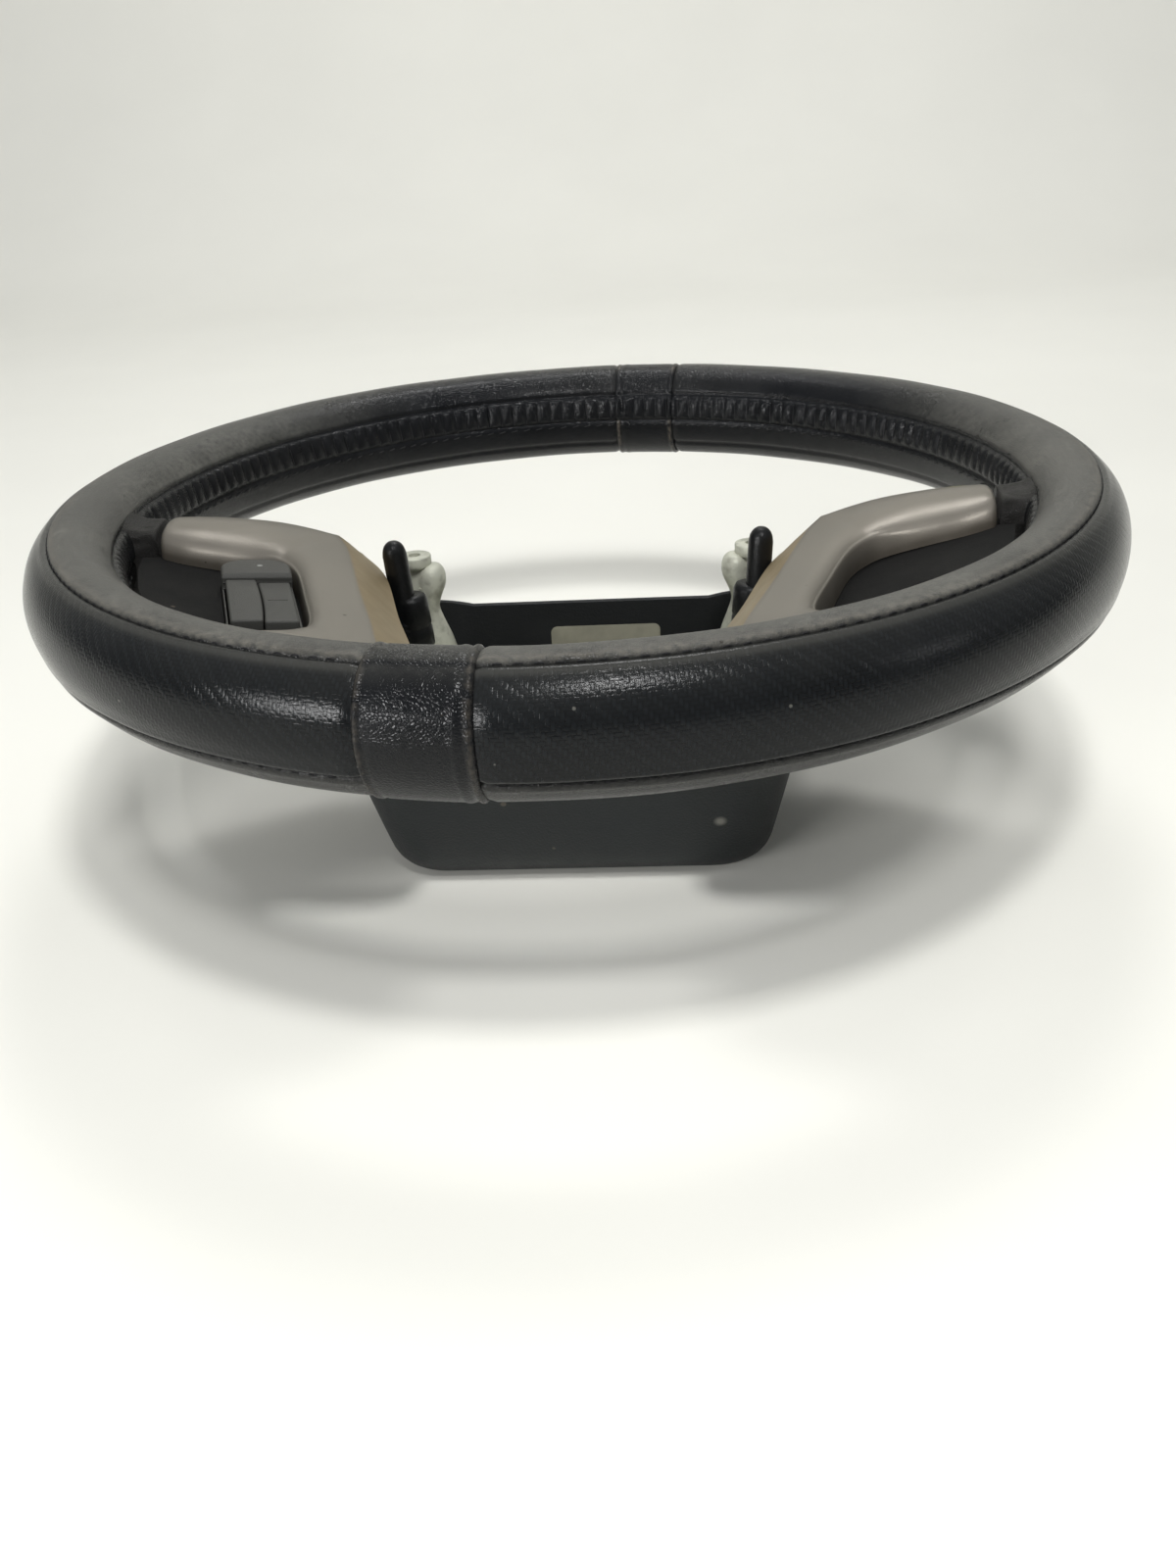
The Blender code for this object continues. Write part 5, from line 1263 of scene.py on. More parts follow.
def bezel_profile(spokes, window, edge, foot):
    """One section of the bezel, from the window's foot over the crown to the bevel's foot.

    Gives the points and how far each is on the bevel.
    """
    out = (window - edge) / np.linalg.norm(window - edge)
    arch = arm_arch(*edge)
    on_arm = soft_step(edge[1], -60.0 * MM, -40.0 * MM)
    round_arm = soft_step((window + edge)[0], 188.0 * MM, 252.0 * MM) * on_arm
    drawn = [
        (window + out * spokes.window_draft, spokes.window_depth),
        (window + out * spokes.window_draft * 0.7, 0.78 * spokes.window_depth),
    ]
    for share, flat, rounded_drop in CROWN_ROWS:
        drop = flat + (rounded_drop - flat) * round_arm
        drawn.append((window + (edge - window) * share, drop * MM))
    bevel = foot - edge
    edge_drop = 0.9 * MM * round_arm
    bevel_depth = spokes.bezel_depth - edge_drop
    for share, drop in BEVEL_ROWS:
        drawn.append((edge + bevel * share, edge_drop + drop / BEVEL_ROWS[-1][1] * bevel_depth))
    first_bevel = len(drawn) - len(BEVEL_ROWS)
    points = []
    for index, (spot, drop) in enumerate(drawn):
        level_spot = spot if index < first_bevel else edge
        lift = arch * (1.0 - drop / spokes.bezel_depth)
        points.append((spot[0], spot[1], face_height(*level_spot) - drop + lift))
    crown = smooth_path(points[:first_bevel], 5)
    on_bevel = np.ones(len(crown) + len(BEVEL_ROWS))
    on_bevel[: len(crown) + 1] = 0.0
    return np.concatenate((crown, points[first_bevel:])), on_bevel


def bezel_rows(spokes):
    """Dense sections of the bezel with rounded ends, and their marks."""
    window, edge, foot = bezel_paths(BEZEL_STEPS)
    rows = []
    marks = []
    for index in range(len(window)):
        points, on_bevel = bezel_profile(spokes, window[index], edge[index], foot[index])
        past_corner = index >= CORNER_ROW * BEZEL_STEPS
        rows.append(points)
        marks.append(on_bevel if past_corner else on_bevel * 0.0)
    rows = np.array(rows)
    skip = 4
    start = rounded_end(rows[0], rows[1], BEZEL_END_ROUND)
    end = rounded_end(rows[-1], rows[-2], BEZEL_END_ROUND)
    rows = np.concatenate((start, rows[skip:-skip], end[::-1]))
    marks = np.concatenate(([marks[0]] * len(start), marks[skip:-skip], [marks[-1]] * len(end)))
    return rows, marks


def rounded_end(last, beside, radius):
    """Sections that draw in towards a bar's end."""
    inward = beside - last
    inward /= np.linalg.norm(inward, axis=1)[:, None]
    middle = (last[0] + last[len(last) // 2] + last[-1]) / 3
    to_middle = middle - last
    to_middle /= np.linalg.norm(to_middle, axis=1)[:, None]
    sections = []
    for turn in (0.0, 30.0, 60.0, 90.0):
        pull = radius * (1 - math.sin(math.radians(turn)))
        back = radius * (1 - math.cos(math.radians(turn)))
        sections.append(last + inward * back + to_middle * pull)
    return np.array(sections)


def make_bezel(spokes, label, side):
    """A silver bezel with its bevel, its grime and painted shade down the window walls, and its chip.
    """
    rows, marks = bezel_rows(spokes)
    rows = rows * np.array((side, 1.0, 1.0))
    count, width = rows.shape[:2]
    faces = grid_faces(count, width).tolist()
    faces.append(list(range(width)))
    faces.append(list(range((count - 1) * width, count * width)))
    points = rows.reshape(-1, 3)
    bezel = plain_mesh(f"spoke_bezel_{label}", points, faces)
    face_out(bezel, Vector((side * 60.0 * MM, -60.0 * MM, 2 * RIM_HEIGHT)))
    write_values(bezel.data, "bevel", marks.ravel())
    depth = np.array([face_height(x, y) - z for x, y, z in points])
    # Grime and painted shade: grows with depth below the face, down the window walls, and stays off the
    # bevel.
    grime_and_painted_shade = soft_step(depth, 5 * MM, 12 * MM) * (1 - marks.ravel()) * 0.9
    write_values(bezel.data, "grime_and_painted_shade", grime_and_painted_shade)
    from_chip = (points / MM - np.array(CHIP_SPOT)) / np.array(CHIP_SIZE)
    chip = (1 - soft_step(np.linalg.norm(from_chip, axis=1), 0.6, 1.1)) * (side > 0)
    write_values(bezel.data, "chip", chip)
    thickened(bezel, spokes.bezel_wall)
    dressed(bezel, "silver_paint", [f"bezel_{label}"], crease=32.0)


def face_out(obj, seen_from):
    """Turns an open surface's faces towards a point in front of it."""
    work = bmesh.new()
    work.from_mesh(obj.data)
    bmesh.ops.recalc_face_normals(work, faces=work.faces)
    work.faces.ensure_lookup_table()
    ranked = sorted(work.faces, key=lambda face: face.calc_center_median().z)
    top = ranked[-len(ranked) // 8:]
    if sum(face.normal.dot(seen_from - face.calc_center_median()) for face in top) < 0:
        bmesh.ops.reverse_faces(work, faces=work.faces)
    work.to_mesh(obj.data)
    work.free()


def shell_outline():
    """Plan of a spoke's back: along the bevel's foot, then along the rim."""
    foot = bezel_paths(SHELL_STEPS)[2]
    ends = [math.atan2(point[1], point[0]) for point in (foot[-1], foot[0])]
    arc = np.linspace(ends[0], ends[1], 28)[1:-1]
    rim = np.stack((np.cos(arc), np.sin(arc)), axis=-1) * SPOKE_REACH
    return np.concatenate((foot, rim)), len(foot)


# A spoke's back: rings of its bottom as shares of its plan, then steps up to its edge, each with
# its inset in millimetres and its share of the depth
SHELL_RINGS = (0.1, 0.3, 0.5, 0.7)
SHELL_WALL = ((9.0, 1.0), (5.0, 0.985), (2.4, 0.94), (0.9, 0.84), (0.15, 0.66), (0.0, 0.4), (0.0, 0.02))


def shell_lift(x, y):
    """How far a spoke's back rises towards the rim beside the lower arm."""
    outward = soft_step(math.hypot(x, y), 108.0 * MM, 144.0 * MM)
    return 12.0 * MM * outward * soft_step(-y, 60.0 * MM, 100.0 * MM)


def add_post(obj, spot, low, high, sink):
    """Joins a screw post on, and cuts the sink for the screw's head into it from below."""
    post = ((POST_RADIUS, low), (POST_RADIUS, high))
    combined(obj, plain_mesh("post", *turned_solid(post, 32, spot)), "UNION")
    combined(obj, plain_mesh("sink", *turned_solid(sink, 32, spot)))


def make_shell(spokes, label, side):
    """A spoke's hollow back with its screw posts."""
    outline, on_foot = shell_outline()
    edge = bezel_paths(SHELL_STEPS)[1]
    middle = outline.mean(axis=0)
    reach = np.linalg.norm(outline - middle, axis=1)
    top = np.array(
        [
            face_height(*(edge[index] if index < on_foot else outline[index])) - spokes.bezel_depth
            for index in range(len(outline))
        ]
    )
    steps = [(np.full(len(outline), part), 1.0) for part in SHELL_RINGS]
    steps += [(1 - inset * MM / reach, share) for inset, share in SHELL_WALL]
    loops = []
    for scale, share in steps:
        moved = middle + (outline - middle) * scale[:, None]
        base = np.array([face_height(*spot) + shell_lift(*spot) for spot in moved]) - spokes.shell_depth
        height = top + (base - top) * share
        loops.append(np.column_stack((moved[:, 0] * side, moved[:, 1], height)))
    loops = np.array(loops)
    count, width = loops.shape[:2]
    faces = grid_faces(count, width, closed_columns=True).tolist()
    faces.append(list(range(width)))
    shell = plain_mesh(f"spoke_back_{label}", loops.reshape(-1, 3), faces)
    if shell.data.polygons[-1].normal.z > 0:
        shell.data.flip_normals()
    thickened(shell, spokes.shell_wall)
    for x, y in BEZEL_POSTS:
        spot = (side * x * MM, y * MM)
        face = face_height(*spot)
        back = face - spokes.shell_depth
        sink = ((4.9 * MM, face - 2 * spokes.shell_depth), (SINK_RADIUS, back + 9.0 * MM))
        add_post(shell, spot, back + 1.2 * MM, face - spokes.bezel_depth - 0.3 * MM, sink)
    dressed(shell, "rear_plastic", [f"spoke_shell_{label}"], crease=38.0)


def screw_solid(x, y, head_top, tip, radius):
    """A pan-head screw put in from below, with its thread."""
    low = head_top - 3.0 * MM
    profile = []
    for turn in np.linspace(0.5, 1.2, 5):
        profile.append((0.9 * SCREW_HEAD * math.sin(turn), low + 1.5 * MM * (1 - math.cos(turn))))
    profile += [(SCREW_HEAD, low + 1.2 * MM), (SCREW_HEAD, head_top), (radius, head_top)]
    for coil in range(int((tip - head_top) / THREAD_PITCH)):
        base = head_top + coil * THREAD_PITCH
        profile += [(radius * 0.82, base + 0.2 * MM), (radius, base + 0.8 * MM)]
    profile += [(radius * 0.5, tip)]
    return turned_solid(profile, 28, (x, y))


def make_screw(name, x, y, head_top, tip, radius):
    """A screw with a cross recess in its head."""
    made = plain_mesh(f"{name}_visible", *screw_solid(x, y, head_top, tip, radius))
    foot = head_top - 3.4 * MM
    for half_x, half_y in ((2.3 * MM, 0.5 * MM), (0.5 * MM, 2.3 * MM)):
        corners = ((-half_x, -half_y), (half_x, -half_y), (half_x, half_y), (-half_x, half_y))
        loops = [[(x + u, y + v, z) for u, v in corners] for z in (foot, head_top - 1.1 * MM)]
        combined(made, plain_mesh("recess", *loft_solid(loops)))
    dressed(made, "screw_steel", [name])


def make_bezel_screws(spokes, label, side):
    for index, (x, y) in enumerate(BEZEL_POSTS):
        name = f"bezel_screw_{label}_{index + 1}"
        face = face_height(x * MM, y * MM)
        head_top = face - spokes.shell_depth + 8.7 * MM
        make_screw(name, side * x * MM, y * MM, head_top, face - 7 * MM, 1.6 * MM)


def collar_section(half_width, foot, top, steps):
    """A rounded rectangle round an arm, as (across, height)."""
    turns = np.linspace(0.0, math.tau, steps, endpoint=False)
    power = 0.42
    across = half_width * np.sign(np.cos(turns)) * np.abs(np.cos(turns)) ** power
    middle = (top + foot) / 2
    height = middle + (top - foot) / 2 * np.sign(np.sin(turns)) * np.abs(np.sin(turns)) ** power
    return across, height


# A sleeve's sections: share of the way to the grip, and how far it is drawn in, in millimetres
COLLAR_ROWS = (
    (0.0, 2.4),
    (0.0, 1.0),
    (0.03, 0.3),
    (0.1, 0.0),
    (0.2, 0.0),
    (0.32, 0.0),
    (0.44, -0.05),
    (0.55, -0.2),
    (0.65, -0.4),
    (0.74, -0.7),
    (0.82, -1.1),
    (0.89, -1.6),
    (0.95, -2.1),
    (1.0, -2.6),
)


def make_collar(grip, label, side, collar, place):
    """A leather sleeve from the bezel's end to the grip, gathered and creased."""
    turn = math.radians(collar["angle"])
    x = SPOKE_REACH * math.cos(turn)
    y = SPOKE_REACH * math.sin(turn)
    top = face_height(x, y) - RIM_HEIGHT - COLLAR_DROP * MM
    foot = max(top - COLLAR_DEPTH * MM, 3.5 * MM - HALF_DEPTH)
    middle = (top + foot) / 2
    across, height = collar_section(collar["width"] / 2 * MM, foot, top, 84)
    size = np.hypot(across, height - middle)
    radius = rim_radius(grip)
    inside = np.clip(1 - (height / HALF_DEPTH) ** 2, 0.0, 1.0)
    reach_end = np.minimum(radius - grip.half_width * np.sqrt(inside) + 1.4 * MM, radius - 8.0 * MM)
    reach_start = SPOKE_REACH + 0.6 * MM
    crease_depth = 0.75
    loops = []
    for share, pull in COLLAR_ROWS:
        reach = reach_start + (reach_end - reach_start) * share
        creases = []
        for u, v, r in zip(across, height, reach):
            spot = Vector((u * 260, v * 260, r * 110 + (40 if side > 0 else 0)))
            creases.append(noise.fractal(spot, 1.0, 2.0, 3) * crease_depth * MM)
        swell = 1 + (np.array(creases) * min(1.0, 4 * share) - pull * MM) / size
        v = across * swell
        w = middle + (height - middle) * swell
        loops.append(
            np.column_stack(
                (
                    side * (reach * math.cos(turn) - v * math.sin(turn)),
                    reach * math.sin(turn) + v * math.cos(turn),
                    RIM_HEIGHT + w,
                )
            )
        )
    made = plain_mesh(f"spoke_sleeve_{place}_{label}", *loft_solid(loops))
    dressed(made, "collar_rubber", [f"collar_{place}_{label}"], crease=70.0)


def make_spokes(spokes, grip):
    for label, side in (("right", 1), ("left", -1)):
        make_bezel(spokes, label, side)
        make_shell(spokes, label, side)
        make_bezel_screws(spokes, label, side)
        make_collar(grip, label, side, UPPER_COLLAR, "upper")
        make_collar(grip, label, side, LOWER_COLLAR, "lower")


# The hub


# The right arms: degrees round the rim, then in millimetres the inner part's plan, the half-width and
# the top beside the grip above the rim's middle
UPPER_ARM = {
    "angle": UPPER_COLLAR["angle"],
    "plan": ((46.0, -20.0), (62.0, -20.0), (74.0, -18.5), (81.0, -17.5)),
    "half_width": 9.0,
    "grip_top": 4.0,
}
LOWER_ARM = {
    "angle": LOWER_COLLAR["angle"],
    "plan": ((30.0, -36.0), (46.0, -62.0), (57.0, -82.0), (66.0, -98.0)),
    "half_width": 6.0,
    "grip_top": -1.0,
}

# Distances from the wheel's axis of an arm's outer sections
ARM_REACHES = (150.0, 158.0, 166.0, 182.0)


def arm_loops(arm, side):
    """Rounded sections of a cast arm from the hub plate to the rim's core."""
    seat = 30.9 * MM
    depth = 12.0 * MM
    half = arm["half_width"] * MM
    turn = math.radians(arm["angle"])
    direction = np.array((math.cos(turn), math.sin(turn)))
    spots = [np.array(point) * MM for point in arm["plan"]]
    spots += [direction * reach * MM for reach in ARM_REACHES]
    faces = [face_height(*spot) for spot in spots]
    knee = (PLATE_TOP + faces[3] - seat) / 2 - 3.0 * MM
    end_lift = shell_lift(*spots[4])
    spans = [
        (PLATE_BOTTOM + 1 * MM, PLATE_TOP - 1 * MM),
        (PLATE_BOTTOM + 1 * MM, PLATE_TOP + 6 * MM),
        (knee, knee + depth + 2 * MM),
        (faces[3] - seat, faces[3] - seat + depth),
        (faces[4] - seat + end_lift, faces[4] - seat + end_lift + depth),
        (RIM_HEIGHT - 11 * MM, RIM_HEIGHT + arm["grip_top"] * MM),
        (RIM_HEIGHT - 8 * MM, RIM_HEIGHT + 8 * MM),
        (RIM_HEIGHT - 8 * MM, RIM_HEIGHT + 8 * MM),
    ]
    turns = np.linspace(0.0, math.tau, 20, endpoint=False)
    across = np.sign(np.cos(turns)) * np.abs(np.cos(turns)) ** 0.35 * half
    upright = np.sign(np.sin(turns)) * np.abs(np.sin(turns)) ** 0.35
    loops = []
    for index, (spot, (low, high)) in enumerate(zip(spots, spans)):
        before = spots[max(index - 1, 0)]
        after = spots[min(index + 1, len(spots) - 1)]
        on_plan = index < len(arm["plan"])
        along = (after - before) / np.linalg.norm(after - before) if on_plan else direction
        beside = np.array((-along[1], along[0]))
        plan = spot + across[:, None] * beside
        height = (low + high) / 2 + upright * (high - low) / 2
        loops.append(np.column_stack((plan[:, 0] * side, plan[:, 1], height)))
    return loops


# The right ear in millimetres: its middle in plan, then rows with the height above the plate, the
# shift from the middle, the half-width and the half-depth
EAR_MIDDLE = (62.0, 26.0)
EAR_ROWS = (
    (-3.0, -1.0, 10.0, 10.4),
    (2.0, -1.0, 9.0, 9.4),
    (8.0, -1.2, 8.0, 8.6),
    (16.0, -1.2, 6.2, 7.4),
    (23.0, -0.6, 4.2, 6.4),
    (29.0, 0.2, 3.3, 6.0),
    (34.0, -0.4, 4.1, 6.2),
    (39.0, -1.3, 5.4, 6.9),
    (43.5, -1.7, 5.2, 6.7),
    (46.3, -1.7, 4.0, 5.4),
    (47.4, -1.7, 2.0, 3.0),
)

# The right seat in plan, and the guide pins: distance from the middle, foot and lean in degrees
SEAT_SPOT = (66.8, 27.0)
PIN_X = 66.51 * MM
PIN_FOOT = 60.0 * MM
PIN_LEAN = 3.3

# Turned forms of the casting, as (radius, height) in millimetres
BOSS_ROWS = (
    (20.0, 9.0),
    (22.0, 10.5),
    (22.0, 28.0),
    (26.0, 31.0),
    (26.0, 37.0),
    (22.6, 40.0),
    (22.0, 45.0),
    (21.0, 46.0),
)
STEM_ROWS = ((6.5, 37.0), (4.2, 44.0), (4.0, 83.5), (4.4, 86.0))
PIN_BOSS_ROWS = ((8.0, 37.0), (5.6, 41.0), (6.6, 49.0), (6.6, 59.4), (6.0, 60.0))
SEAT_ROWS = ((5.6, 84.2), (6.3, 84.9), (6.5, 85.6), (6.5, 88.5), (6.35, 88.85), (6.0, 89.0))


def ear_solid(side):
    """An upright ear beside the hub."""
    turns = np.linspace(0.0, math.tau, 32, endpoint=False)
    loops = []
    for height, shift, half_x, half_y in smooth_path(EAR_ROWS, 4):
        x = EAR_MIDDLE[0] + shift + half_x * np.cos(turns)
        y = EAR_MIDDLE[1] + half_y * np.sin(turns)
        z = np.full(len(turns), PLATE_TOP / MM + height)
        loops.append(np.column_stack((side * x, y, z)) * MM)
    return loft_solid(loops)


def ear_rib(side):
    """The raised edge up the near outboard side of an ear."""
    turn = math.radians(-42.0)
    path = []
    for height, shift, half_x, half_y in smooth_path(EAR_ROWS[1:8], 4):
        x = EAR_MIDDLE[0] + shift + half_x * math.cos(turn)
        y = EAR_MIDDLE[1] + half_y * math.sin(turn)
        path.append((side * x * MM, y * MM, PLATE_TOP + height * MM))
    return tube_solid(path, 0.75 * MM, 10)


def plate_solid():
    """The hub plate with rounded corners and a raised border."""
    half = 68.3
    right = (
        (half - 29.0, -56.0),
        (half - 5.0, -35.0),
        (half, -22.0),
        (half, 24.0),
        (half - 6.0, 36.0),
        (half - 24.0, 44.0),
    )
    outline = np.array(right + tuple((-x, y) for x, y in reversed(right)))
    dense = smooth_path(np.vstack((outline, outline[:1])), 5)[:-1]
    loops = []
    for inset, height in ((1.5, 30.0), (0.0, 31.5), (0.0, 36.5), (1.5, 38.0)):
        loop = dense * (1 - inset / 60.0)
        loops.append(np.column_stack((loop, np.full(len(loop), height))) * MM)
    return loft_solid(loops)


def seat_place(side):
    """Where the seat on an ear stands in plan."""
    return side * SEAT_SPOT[0] * MM, SEAT_SPOT[1] * MM


def make_casting():
    """The armature: plate, boss, arms, ears and seats run together as one casting."""
    parts = [plate_solid(), turned_mm(BOSS_ROWS, 64)]
    for side in (1, -1):
        parts.append(loft_solid(arm_loops(UPPER_ARM, side)))
        parts.append(loft_solid(arm_loops(LOWER_ARM, side)))
        parts.append(ear_solid(side))
        parts.append(turned_mm(STEM_ROWS, 48, seat_place(side)))
        parts.append(turned_mm(PIN_BOSS_ROWS, 40, (side * PIN_X, 0.0)))
    casting = plain_mesh("cast_armature", *gathered(parts))
    fuse = casting.modifiers.new("fuse", "REMESH")
    fuse.mode = "VOXEL"
    fuse.voxel_size = 0.8 * MM
    soften = casting.modifiers.new("soften", "SMOOTH")
    soften.factor = 0.5
    soften.iterations = 4
    applied(casting)
    for side in (1, -1):
        seat = turned_mm(SEAT_ROWS, 48, seat_place(side))
        combined(casting, plain_mesh("seat", *seat), "UNION")
        combined(casting, plain_mesh("rib", *ear_rib(side)), "UNION")
    drill_casting(casting)
    dressed(casting, "cast_metal", ["armature"], crease=50.0)


def drill_casting(casting):
    """Bores for the bush and the screws, and two round holes in the plate."""
    bores = [((0.0, 0.0), 16.2, 0.0, 70.0, 64)]
    for side in (1, -1):
        bores.append(((side * 32.0, -18.0), 8.0, 20.0, 70.0, 40))
        bores.append(((side * SEAT_SPOT[0], SEAT_SPOT[1]), 2.4, 86.0, 92.0, 24))
    for x, y in COVER_SCREWS:
        bores.append(((x, y), 2.7, 20.0, 50.0, 24))
    for (x, y), radius, low, high, steps in bores:
        bore = turned_mm(((radius, low), (radius, high)), steps, (x * MM, y * MM))
        combined(casting, plain_mesh("bore", *bore))


def make_hub_insert():
    """Steel bush with a splined bore, a chamfered top and a flange."""
    flange = ((19.2, 5.7), (20.0, 6.3), (20.0, 8.3), (19.6, 8.7))
    stem = ((16.0, 8.7), (16.0, 49.2), (15.2, 50.0))
    bush = plain_mesh("splined_bush", *turned_mm(flange + stem, 72))
    teeth = 36
    steps = np.arange(teeth * 4)
    radii = np.where(steps % 4 < 2, 8.5, 9.2) * MM
    angles = steps * math.tau / len(steps)
    loops = []
    for height, grow in ((2.0, 0.0), (48.2, 0.0), (50.5, 1.6 * MM)):
        x = (radii + grow) * np.cos(angles)
        y = (radii + grow) * np.sin(angles)
        loops.append(np.column_stack((x, y, np.full(len(steps), height * MM))))
    combined(bush, plain_mesh("spline", *loft_solid(loops)))
    dressed(bush, "machined_steel", ["hub_insert"], crease=25.0)


def make_pin(label, side):
    """A bullet-nosed guide pin on a ribbed boot."""
    stem = [(2.5, -9.5), (2.5, 0.3), (4.9, 0.9), (5.3, 1.6), (5.3, 2.6), (4.9, 3.2)]
    for rib in range(4):
        base = 3.4 + rib * 2.2
        stem += [(4.7, base + 0.3), (5.2, base + 0.8), (5.2, base + 1.4), (4.7, base + 1.9)]
    stem += [(4.62, 13.0), (4.6, 38.2), (4.5, 38.7)]
    nose = [(4.36, 39.6), (4.05, 40.8), (3.5, 41.9), (2.7, 42.8), (1.8, 43.4), (0.8, 43.7)]
    pin_solid = turned_mm(stem + nose, 48)
    boot = [(5.9, 0.4), (6.5, 1.2), (6.5, 8.0), (6.2, 8.6), (6.2, 9.4)]
    boot += [(6.5, 10.0), (6.4, 19.4), (5.6, 21.2), (4.0, 21.9)]
    boot_solid = turned_mm(boot, 40, (-side * 2.6 * MM, 1.2 * MM))
    points, faces = gathered((pin_solid, boot_solid))
    lean = Matrix.Rotation(math.radians(side * PIN_LEAN), 4, "Y")
    place = Matrix.Translation((side * PIN_X, 0.0, PIN_FOOT)) @ lean
    pin = plain_mesh(f"bullet_pin_{label}", [place @ Vector(point) for point in points], faces)
    dressed(pin, "pin_plastic", [f"guide_pin_{label}"], crease=60.0)


def make_hub():
    make_casting()
    make_hub_insert()
    for label, side in (("right", 1), ("left", -1)):
        make_pin(label, side)


# The rear cover


def cover_row(height):
    """Half-width, near edge, far edge and corner radius of the cover at a height."""
    rows = smooth_path(COVER_ROWS, 6)
    return [np.interp(height, rows[:, 0], rows[:, column]) for column in range(1, 5)]


def cover_ring(steps):
    """Directions round the cover: for each point its corner and its angle."""
    ring = []
    for corner in range(4):
        for step in range(steps + 1):
            ring.append((corner, math.radians(corner * 90.0 - 90.0 + 90.0 * step / steps)))
    return ring


def cover_point(corner, turn, height, wall):
    """A point on the cover's wall, drawn in by a wall's thickness."""
    half, near, far, radius = cover_row(height)
    radius -= wall
    x = (half - wall - radius) * (1 if corner in (0, 1) else -1)
    y = near + wall + radius if corner in (0, 3) else far - wall - radius
    return x + radius * math.cos(turn), y + radius * math.sin(turn), height


def cover_top(x, y):
    """Top edge of the cover in millimetres: level at the sides, dipping along the far wall."""
    sides = COVER_SIDE_TOP - 0.02 * (y - 22.0)
    dip = COVER_FAR_TOP + 9.8 * (abs(x) / 65.0) ** 1.6
    share = float(soft_step(np.float64(y), 30.0, 40.0))
    return sides + (min(sides, dip) - sides) * share


def cover_depth(x, y, height):
    """How far a point in millimetres lies inside the cover's outline."""
    half, near, far, radius = cover_row(height)
    out_x = abs(x) - (half - radius)
    out_y = abs(y - (near + far) / 2) - ((far - near) / 2 - radius)
    return radius - math.hypot(max(out_x, 0.0), max(out_y, 0.0)) - min(max(out_x, out_y), 0.0)


def make_rear_cover(spokes):
    """The tub under the hub, with its column opening and screw posts."""
    wall = spokes.cover_wall / MM
    ring = cover_ring(14)
    edge_height = 60.0
    edge_round = 0.6
    floor_height = 3.0
    tops = []
    for corner, turn in ring:
        x, y, _ = cover_point(corner, turn, edge_height, 0.0)
        tops.append(cover_top(x, y))

    def loop_at(share, inset):
        return [cover_point(*spot, share * top, inset) for spot, top in zip(ring, tops)]

    loops = [loop_at(share, 0.0) for share in OUTER_SHARES]
    loops += [loop_at(1.0, inset) for inset in (edge_round, wall - edge_round)]
    loops += [loop_at(share, wall) for share in INNER_SHARES]
    loops.append([cover_point(*spot, floor_height, wall + 2.0) for spot in ring])
    cover = plain_mesh("rear_tub", *loft_solid(np.array(loops) * MM))
    column = ((40.6, -2.0), (40.0, 0.8), (40.0, 8.0))
    combined(cover, plain_mesh("column", *turned_mm(column, 96)))
    for x, y in COVER_SCREWS:
        spot = (x * MM, y * MM)
        sink = ((5.1 * MM, -2.0 * MM), (SINK_RADIUS, 1.0 * MM), (SINK_RADIUS, PLATE_BOTTOM - 10 * MM))
        add_post(cover, spot, 2.2 * MM, PLATE_BOTTOM - 0.3 * MM, sink)
    # Painted shade: points a wall's thickness inside the cover's outline, on the inside of the tub, are
    # marked to be drawn darker.
    depths = np.array([cover_depth(*(vertex.co / MM)) for vertex in cover.data.vertices])
    write_values(cover.data, "painted_inner_shade", soft_step(depths, 0.3 * wall, 0.8 * wall))
    dressed(cover, "rear_plastic", ["rear_cover"], crease=38.0)


def make_cover_screws():
    for index, (x, y) in enumerate(COVER_SCREWS):
        head_top = PLATE_BOTTOM - 10.3 * MM
        make_screw(f"cover_screw_{index + 1}", x * MM, y * MM, head_top, PLATE_TOP - 1 * MM, 2.4 * MM)


def make_label():
    """A blank sticker with rounded corners on the inside of the far wall."""
    low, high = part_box("label")
    corner = 2.6 * MM
    width = high.x - low.x
    tall = math.hypot(high.z - low.z, high.y - low.y)
    up = Vector((0.0, high.y - low.y, high.z - low.z)).normalized()
    out = Vector((0.0, -up.z, up.y))
    outline = []
    for index, (sx, sy) in enumerate(((1, -1), (1, 1), (-1, 1), (-1, -1))):
        for step in range(9):
            turn = math.radians(index * 90.0 - 90.0 + step * 90.0 / 8)
            outline.append(
                (
                    sx * (width / 2 - corner) + corner * math.cos(turn),
                    sy * (tall / 2 - corner) + corner * math.sin(turn),
                )
            )
    middle = (low + high) / 2
    loops = []
    for lift, inset in ((-0.15, 0.0), (0.1, 0.0), (0.15, 0.06)):
        loop = []
        for u, v in outline:
            scale = 1 - inset * MM / corner * 0.2
            loop.append(middle + Vector((u * scale, 0.0, 0.0)) + up * v * scale + out * lift * MM)
        loops.append(loop)
    sticker = plain_mesh("blank_sticker", *loft_solid(loops))
    dressed(sticker, "label_paper", ["label"])


# The switch pod


def pod_place():
    """The pod's frame, from the axes of its two joints."""
    joints = {joint["name"]: joint for joint in frame["joints"]}
    out = -Vector(joints["mode_press"]["axis"]).normalized()
    inboard = Vector(joints["rocker_tilt"]["axis"]).normalized()
    upward = out.cross(inboard)
    axes = Matrix((inboard, upward, out)).transposed()
    pivot = Vector(joints["rocker_tilt"]["pos_m"])
    place = axes.to_4x4()
    place.translation = pivot - axes @ (Vector(ROCKER_MIDDLE) * MM)
    return place


def pod_solid(name, loops):
    """A solid through loops drawn in the pod's own millimetres."""
    place = pod_place()
    points, faces = loft_solid(loops)
    return plain_mesh(name, [place @ (Vector(point) * MM) for point in points], faces)


